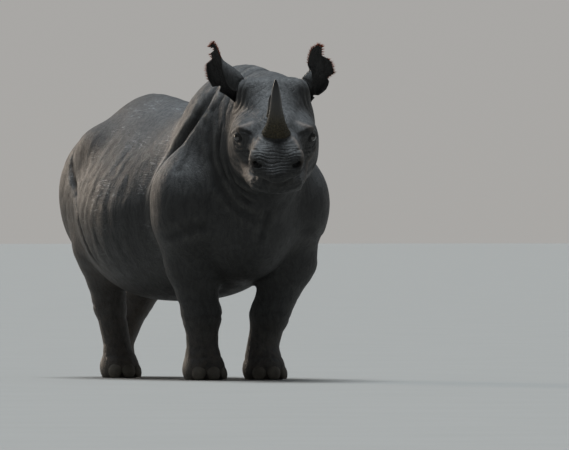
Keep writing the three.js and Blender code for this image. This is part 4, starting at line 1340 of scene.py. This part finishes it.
def eye_mesh(side):
    """A ball with a clear bulge over its iris."""
    rows, sides = EYE_GRID
    out = eye_way(side, 0.05)
    across = unit(np.cross(out, (0, 0, 1)))
    up = np.cross(across, out)
    polar = np.linspace(0, math.pi, rows)[1:-1][:, None, None]
    turn = around(sides)[..., None]
    reach = EYE_BALL * (1 + EYE_BULGE * np.exp(-(polar / 0.45) ** 2))
    ball_way = np.cos(polar) * out + np.sin(polar) * (np.cos(turn) * across + np.sin(turn) * up)
    poles = np.array([out * EYE_BALL * (1 + EYE_BULGE), -out * EYE_BALL])
    points = eye_centre(side) + np.concatenate([(ball_way * reach).reshape(-1, 3), poles])
    mesh = new_mesh(f"eyeball_{side}", moved(points, TO_BODY), with_poles(rows - 2, sides))
    facing = np.append(np.repeat(np.cos(polar.ravel()), sides), [1, -1])
    add_numbers(mesh, "aim", np.clip(facing, 0, 1))
    return mesh


NAIL_ANGLES = {"outer": 44, "middle": 0, "inner": -44}
NAIL_SIZE = (36, 20, 40)
NAIL_REACH = {"front": (94, 113), "hind": (87, 106)}
NAIL_HEIGHT = 36
NAIL_LEAN = 13
NAIL_EDGE = 3
NAIL_GRID = (30, 40)


def nail_mesh(foot, place):
    """A rounded hoof-like nail with growth rings, cut off level at its worn edge."""
    fx, fy = FEET[foot]
    turn = math.radians(NAIL_ANGLES[place]) * np.sign(fx)
    aside, ahead = NAIL_REACH[foot.split("_")[0]]
    rows, sides = NAIL_GRID
    polar = np.linspace(0, math.pi, rows)[:, None]
    angle = around(sides)
    rings = 1 - 0.02 * (1 + np.sin(polar * 26 + np.sin(angle * 2)))
    x = np.sin(polar) * np.cos(angle) * rings * NAIL_SIZE[0]
    y, z = np.sin(polar) * np.sin(angle) * rings * NAIL_SIZE[1], np.cos(polar) * NAIL_SIZE[2] + 0 * angle
    y, z = turned(y, z, -math.radians(NAIL_LEAN))
    x, y = turned(x, y, turn)
    x, y = x + fx + math.sin(turn) * aside, y + fy - FOOT_FORWARD - math.cos(turn) * ahead
    points = np.stack([x, y, np.maximum(z + NAIL_HEIGHT, NAIL_EDGE)], -1)[1:-1].reshape(-1, 3)
    ends_of_nail = [points[:sides].mean(0) + (0, 0, 0.3), points[-sides:].mean(0)]
    faces = [face[::-1] for face in with_poles(rows - 2, sides)]
    return new_mesh(f"claw_{foot}_{place}", np.concatenate([points, ends_of_nail]), faces)


# ------------------------------------------------------------------ hair
TUFT_SIDES = 3
TUFT_STEPS = 4
TUFT_TAPER = 0.7
PATCH = 0.003  # size of a tuft's patch on the unwrap


def tufts_mesh(name, roots, ways, lengths, widths, places):
    """Thin tapered tufts of hair, each curled a little and with a patch of the unwrap."""
    count = len(roots)
    turn = RANDOM.uniform(0, 2 * math.pi, count)
    ways = ways / np.linalg.norm(ways, axis=1)[:, None]
    side = np.cross(ways, RANDOM.normal(size=(count, 3)))
    side /= np.linalg.norm(side, axis=1)[:, None]
    other = np.cross(ways, side)
    curl = RANDOM.uniform(-0.16, 0.16, (count, 1)) * side
    rings = []
    for step in range(TUFT_STEPS):
        t = step / TUFT_STEPS
        centre = roots + ways * (lengths * t)[:, None] + curl * (lengths * t * t)[:, None]
        for k in range(TUFT_SIDES):
            angle = turn + 2 * math.pi * k / TUFT_SIDES
            outward = np.cos(angle)[:, None] * side + np.sin(angle)[:, None] * other
            rings.append(centre + outward * (widths * (1 - t) ** TUFT_TAPER)[:, None])
    tip = roots + ways * lengths[:, None] + curl * lengths[:, None]
    points = np.stack([*rings, tip], 1)
    per = points.shape[1]
    faces = [list(range(TUFT_SIDES))[::-1]]
    for step in range(TUFT_STEPS - 1):
        for k in range(TUFT_SIDES):
            a, b = step * TUFT_SIDES + k, step * TUFT_SIDES + (k + 1) % TUFT_SIDES
            faces.append([a, b, b + TUFT_SIDES, a + TUFT_SIDES])
    top = (TUFT_STEPS - 1) * TUFT_SIDES
    faces += [[top + k, top + (k + 1) % TUFT_SIDES, per - 1] for k in range(TUFT_SIDES)]
    every = [[v + i * per for v in face] for i in range(count) for face in faces]
    mesh = new_mesh(name, points.reshape(-1, 3), every)
    up_hair = np.tile(np.append(np.repeat(np.arange(TUFT_STEPS) / TUFT_STEPS, TUFT_SIDES), 1.0), count)
    add_numbers(mesh, "along", up_hair)
    add_numbers(mesh, "strand", np.repeat(RANDOM.random(count), per))
    corner = read(mesh.loops, "vertex_index", 1, int)[:, 0]
    hair, ring = corner // per, corner % per
    across = (ring % TUFT_SIDES) / TUFT_SIDES
    uv = places[hair] + PATCH * np.stack([across, up_hair[corner]], -1)
    mesh.uv_layers.new(name="OFBake").data.foreach_set("uv", uv.ravel().astype(np.float32))
    return mesh


EAR_HAIRS = 2200
TOP_HAIRS = 0.22  # the share of them that stand at the tip
EAR_BARE = {"left": (104, 66), "right": (165, 92)}  # heights below which the inner and outer rims are bare


def directions(ways):
    return ways / np.maximum(np.linalg.norm(ways, axis=1), 0.1)[:, None]


def ear_hair(side):
    """The fringe round the upper rim of an ear, thickest at its tip, in clumps."""
    rows = np.array(EARS[side]["rows"], float)
    low, high = rows[0, 0], rows[-1, 0]
    along_rim = RANDOM.uniform(-1, 1, EAR_HAIRS)
    inner, outer = EAR_BARE[side]
    start = (np.where(along_rim < 0, inner, outer) - low) / (high - low)
    height = mix(EAR_TOP, start, np.abs(along_rim) ** 1.2)
    share = np.sign(along_rim) * RANDOM.uniform(0.93, 1.0, EAR_HAIRS)
    top = RANDOM.random(EAR_HAIRS) < TOP_HAIRS
    height = np.where(top, RANDOM.uniform(0.965, EAR_TOP, EAR_HAIRS), height)
    share = np.where(top, RANDOM.uniform(-1, 1, EAR_HAIRS), share)
    depth = RANDOM.uniform(0.1, 0.9, EAR_HAIRS)
    roots = ear_point(side, height, share, depth)
    inward = ear_point(side, height, share * 0.8, depth)
    below = ear_point(side, height - 0.02, share, depth)
    outward, rise = directions(roots - inward), directions(roots - below)
    outward[top] *= 0.3
    clump = np.sin(height * 150 + 2) * 0.35 + 0.1
    ways = outward + rise * (0.45 + clump)[:, None] + RANDOM.normal(0, 0.2, (EAR_HAIRS, 3))
    clumped = 0.52 + 0.48 * np.sin(height * 170 * np.sign(share) + 3 * along_rim)
    lengths = mix(9, 23, RANDOM.random(EAR_HAIRS)) * clumped * fade(height, start, start + 0.06)
    widths = RANDOM.uniform(0.35, 0.7, EAR_HAIRS)
    half = 0.5 if side == "left" else 0.0
    places = np.stack([0.05 + 0.4 * (share + 1) / 2 + half, 0.05 + 0.85 * height], -1)
    return roots, ways, np.maximum(lengths, 2), widths, places


TAIL_HAIRS = 1300


def tail_at(t):
    """The tail's line read at any shares t, in any order."""
    steps = np.linspace(0, 1, 400)
    return [np.interp(t, steps, values) for values in tail_line(steps)]


def tail_hair():
    """The tail's two combs of stiff black bristles, and the tuft at its end."""
    t = 1 - 0.3 * RANDOM.random(TAIL_HAIRS) ** 1.6
    z, y, wide, thick, slope = tail_at(t)
    comb = np.where(RANDOM.random(TAIL_HAIRS) < 0.8, np.sign(RANDOM.uniform(-1, 1, TAIL_HAIRS)), 0)
    angle = np.where(comb == 0, RANDOM.uniform(0, 2 * math.pi, TAIL_HAIRS),
                     np.where(comb > 0, 0, math.pi) + RANDOM.normal(0, 0.3, TAIL_HAIRS))
    out = np.stack([np.cos(angle), np.sin(angle) * np.cos(slope), np.sin(angle) * np.sin(slope)], -1)
    roots = np.stack([0 * z, y, z], -1) + out * np.stack([wide, thick, thick], -1) * 0.97
    ways = out * 0.3 + (0, 0, -1) + RANDOM.normal(0, 0.09, (TAIL_HAIRS, 3))
    lengths = RANDOM.uniform(22, 95, TAIL_HAIRS) * mix(0.6, 1, (t - 0.7) / 0.3)
    widths = RANDOM.uniform(0.5, 0.9, TAIL_HAIRS)
    places = np.stack([0.05 + 0.85 * (angle % (2 * math.pi)) / (2 * math.pi), 0.05 + 0.85 * (1 - t)], -1)
    return roots, ways, lengths, widths, places


LASHES = 30


def lashes(side):
    """Short lashes on the upper lid."""
    angle = RANDOM.uniform(-1, 1, LASHES)
    out = eye_way(side, 0)
    across = np.cross(out, (0, 0, 1))
    up = np.array([0, 0, 1]) * (8 - 5 * angle**2)[:, None]
    roots = eye_centre(side) + out * 24 + across * (angle * 17)[:, None] + up
    ways = out + across * (angle * 0.5)[:, None] + (0, 0, -0.25) + RANDOM.normal(0, 0.12, (LASHES, 3))
    roots, tips = moved(roots, TO_BODY), moved(roots + ways, TO_BODY)
    lengths = RANDOM.uniform(5, 9, LASHES)
    places = np.stack([0.1 + 0.8 * (angle + 1) / 2, np.full(LASHES, 0.9)], -1)
    return roots, tips - roots, lengths, RANDOM.uniform(0.35, 0.55, LASHES), places


def hair_material(name, root, tip):
    material, nodes = new_material(name)
    strand = nodes.attribute("strand")
    middle = mix(np.array(root), np.array(tip), 0.5)
    colour = nodes.ramp(nodes.attribute("along"), (0.0, root), (0.45, middle), (1.0, tip))
    varied = nodes.ramp(strand, (0.0, 0.5), (0.6, (1.0, 0.95, 0.9)), (1.0, (1.7, 1.5, 1.4)))
    nodes.surface({
        "Base Color": nodes.times(colour, varied),
        "Roughness": nodes.ramp(strand, (0, 0.35), (1, 0.6)),
    })
    return material


# ------------------------------------------------------------------ the pieces
HIDE = hide_material()
HORN = horn_material()
NAIL = nail_material()
EYEBALL = eye_material()

hide_nodes = ["trunk", "neck", "head", "tail", *[f"ear_{side}" for side in SIDES]]
hide_nodes += [f"{part}_{foot}" for foot in FEET for part in ("leg", "foot")]
add_piece("hide", build_hide(), HIDE, "hide", *hide_nodes)
for name in HORNS:
    add_piece(f"{name}_keratin", horn_mesh(name), HORN, "horn", name)
for side in SIDES:
    add_piece(f"eyeball_{side}", eye_mesh(side), EYEBALL, "eyeball", f"eye_{side}")
for foot in FEET:
    for place in NAIL_ANGLES:
        add_piece(f"claw_{foot}_{place}", nail_mesh(foot, place), NAIL, "nail", f"nail_{foot}_{place}")

FRINGE = hair_material("ear_fringe", (0.03, 0.014, 0.01), (0.6, 0.17, 0.08))
BRISTLE = hair_material("tail_bristle", (0.008, 0.007, 0.007), (0.03, 0.022, 0.018))
BOX_MARGIN = 0.0005  # how far inside the CAD part's box hairs are kept, in metres


def add_hair(name, material, parts):
    mesh = tufts_mesh(name, *parts)
    low, high = np.array(CAD_BOX)
    set_positions(mesh, np.clip(positions(mesh), low + BOX_MARGIN, high - BOX_MARGIN))
    add_piece(name, mesh, material, "hide")


for side in SIDES:
    add_hair(f"ear_fringe_{side}", FRINGE, ear_hair(side))
    add_hair(f"lashes_{side}", BRISTLE, lashes(side))
add_hair("tail_tuft", BRISTLE, tail_hair())

# ------------------------------------------------------------------ floor, light and camera
EYE_CENTRES = [(low + high) / 2 for low, high in (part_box("eye_left"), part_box("eye_right"))]
BETWEEN_EYES = (EYE_CENTRES[0] + EYE_CENTRES[1]) / 2
VIEW_TURN = math.radians(-26)  # the camera stands to the animal's right of straight ahead
VIEW_DISTANCE = 60.0
VIEW_WIDTH = 2.788  # metres seen across the picture at the eyes
AIM_RIGHT, AIM_DOWN = 0.0466, 0.431  # from between the eyes to the middle of the picture
SENSOR = 36.0
FLOOR_SIZE = 400
SKY = [(0.0, (0.86, 0.84, 0.81)), (0.06, (0.86, 0.85, 0.83)), (0.16, 0.5), (0.5, (0.32, 0.36, 0.4))]
SKY_STRENGTH = 0.46


def add_camera():
    back = Vector((math.sin(VIEW_TURN), -math.cos(VIEW_TURN), 0))
    right = Vector((math.cos(VIEW_TURN), math.sin(VIEW_TURN), 0))
    data = bpy.data.cameras.new("camera")
    data.sensor_width = SENSOR
    data.lens = SENSOR * VIEW_DISTANCE / VIEW_WIDTH
    data.clip_end = 1000
    camera = add_object("camera", data)
    camera.location = BETWEEN_EYES + right * AIM_RIGHT - Vector((0, 0, AIM_DOWN)) + back * VIEW_DISTANCE
    camera.rotation_euler = (math.pi / 2, 0, VIEW_TURN)
    bpy.context.scene.camera = camera


def add_floor():
    mesh = bpy.data.meshes.new("floor")
    corners = [(x * FLOOR_SIZE, y * FLOOR_SIZE, 0) for x, y in ((-1, -1), (1, -1), (1, 1), (-1, 1))]
    mesh.from_pydata(corners, [], [(0, 1, 2, 3)])
    floor = add_object("floor", mesh)
    material, nodes = new_material("floor")
    grain = nodes.noise(nodes.coordinates(), 1.5)
    shade = nodes.ramp(grain, (0.3, (0.4, 0.39, 0.37)), (0.7, (0.415, 0.405, 0.385)))
    nodes.surface({"Base Color": shade, "Roughness": 0.9, "Specular IOR Level": 0.1})
    mesh.materials.append(material)
    floor.location.z = min(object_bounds()[0].z, 0) - 0.0005


def add_sun(name, energy, colour, toward, spread):
    data = bpy.data.lights.new(name, "SUN")
    data.energy = energy
    data.color = colour
    data.angle = math.radians(spread)
    light = add_object(name, data)
    light.rotation_euler = Vector(toward).to_track_quat("-Z", "Y").to_euler()


def add_world():
    """A sky that is pale low down, and darker above and on the side where the camera stands."""
    world = bpy.data.worlds.new("sky")
    world.use_nodes = True
    nodes = Nodes(world.node_tree)
    direction = nodes.coordinates("Generated")
    to_camera = (math.sin(VIEW_TURN), -math.cos(VIEW_TURN), 0.0)
    toward = nodes.add("VectorMath", {0: direction, 1: to_camera}, operation="DOT_PRODUCT").outputs["Value"]
    aside = nodes.ramp(nodes.maths("ADD", toward, 0.5), (0.1, 1), (0.5, 0.55), (1.0, 0.36))
    sky = nodes.times(nodes.ramp(nodes.parts(direction)["Z"], *SKY), aside)
    nodes.fill(world.node_tree.nodes["Background"], {"Color": sky, "Strength": SKY_STRENGTH})
    bpy.context.scene.world = world


add_camera()
add_floor()
add_world()
add_sun("sun", 2.9, (0.86, 0.94, 1.0), (0.03, -0.14, -1.0), 32)
add_sun("rim", 0.75, (1.0, 0.84, 0.68), (0.14, -0.98, -0.24), 14)
bpy.context.scene.view_settings.view_transform = "Standard"
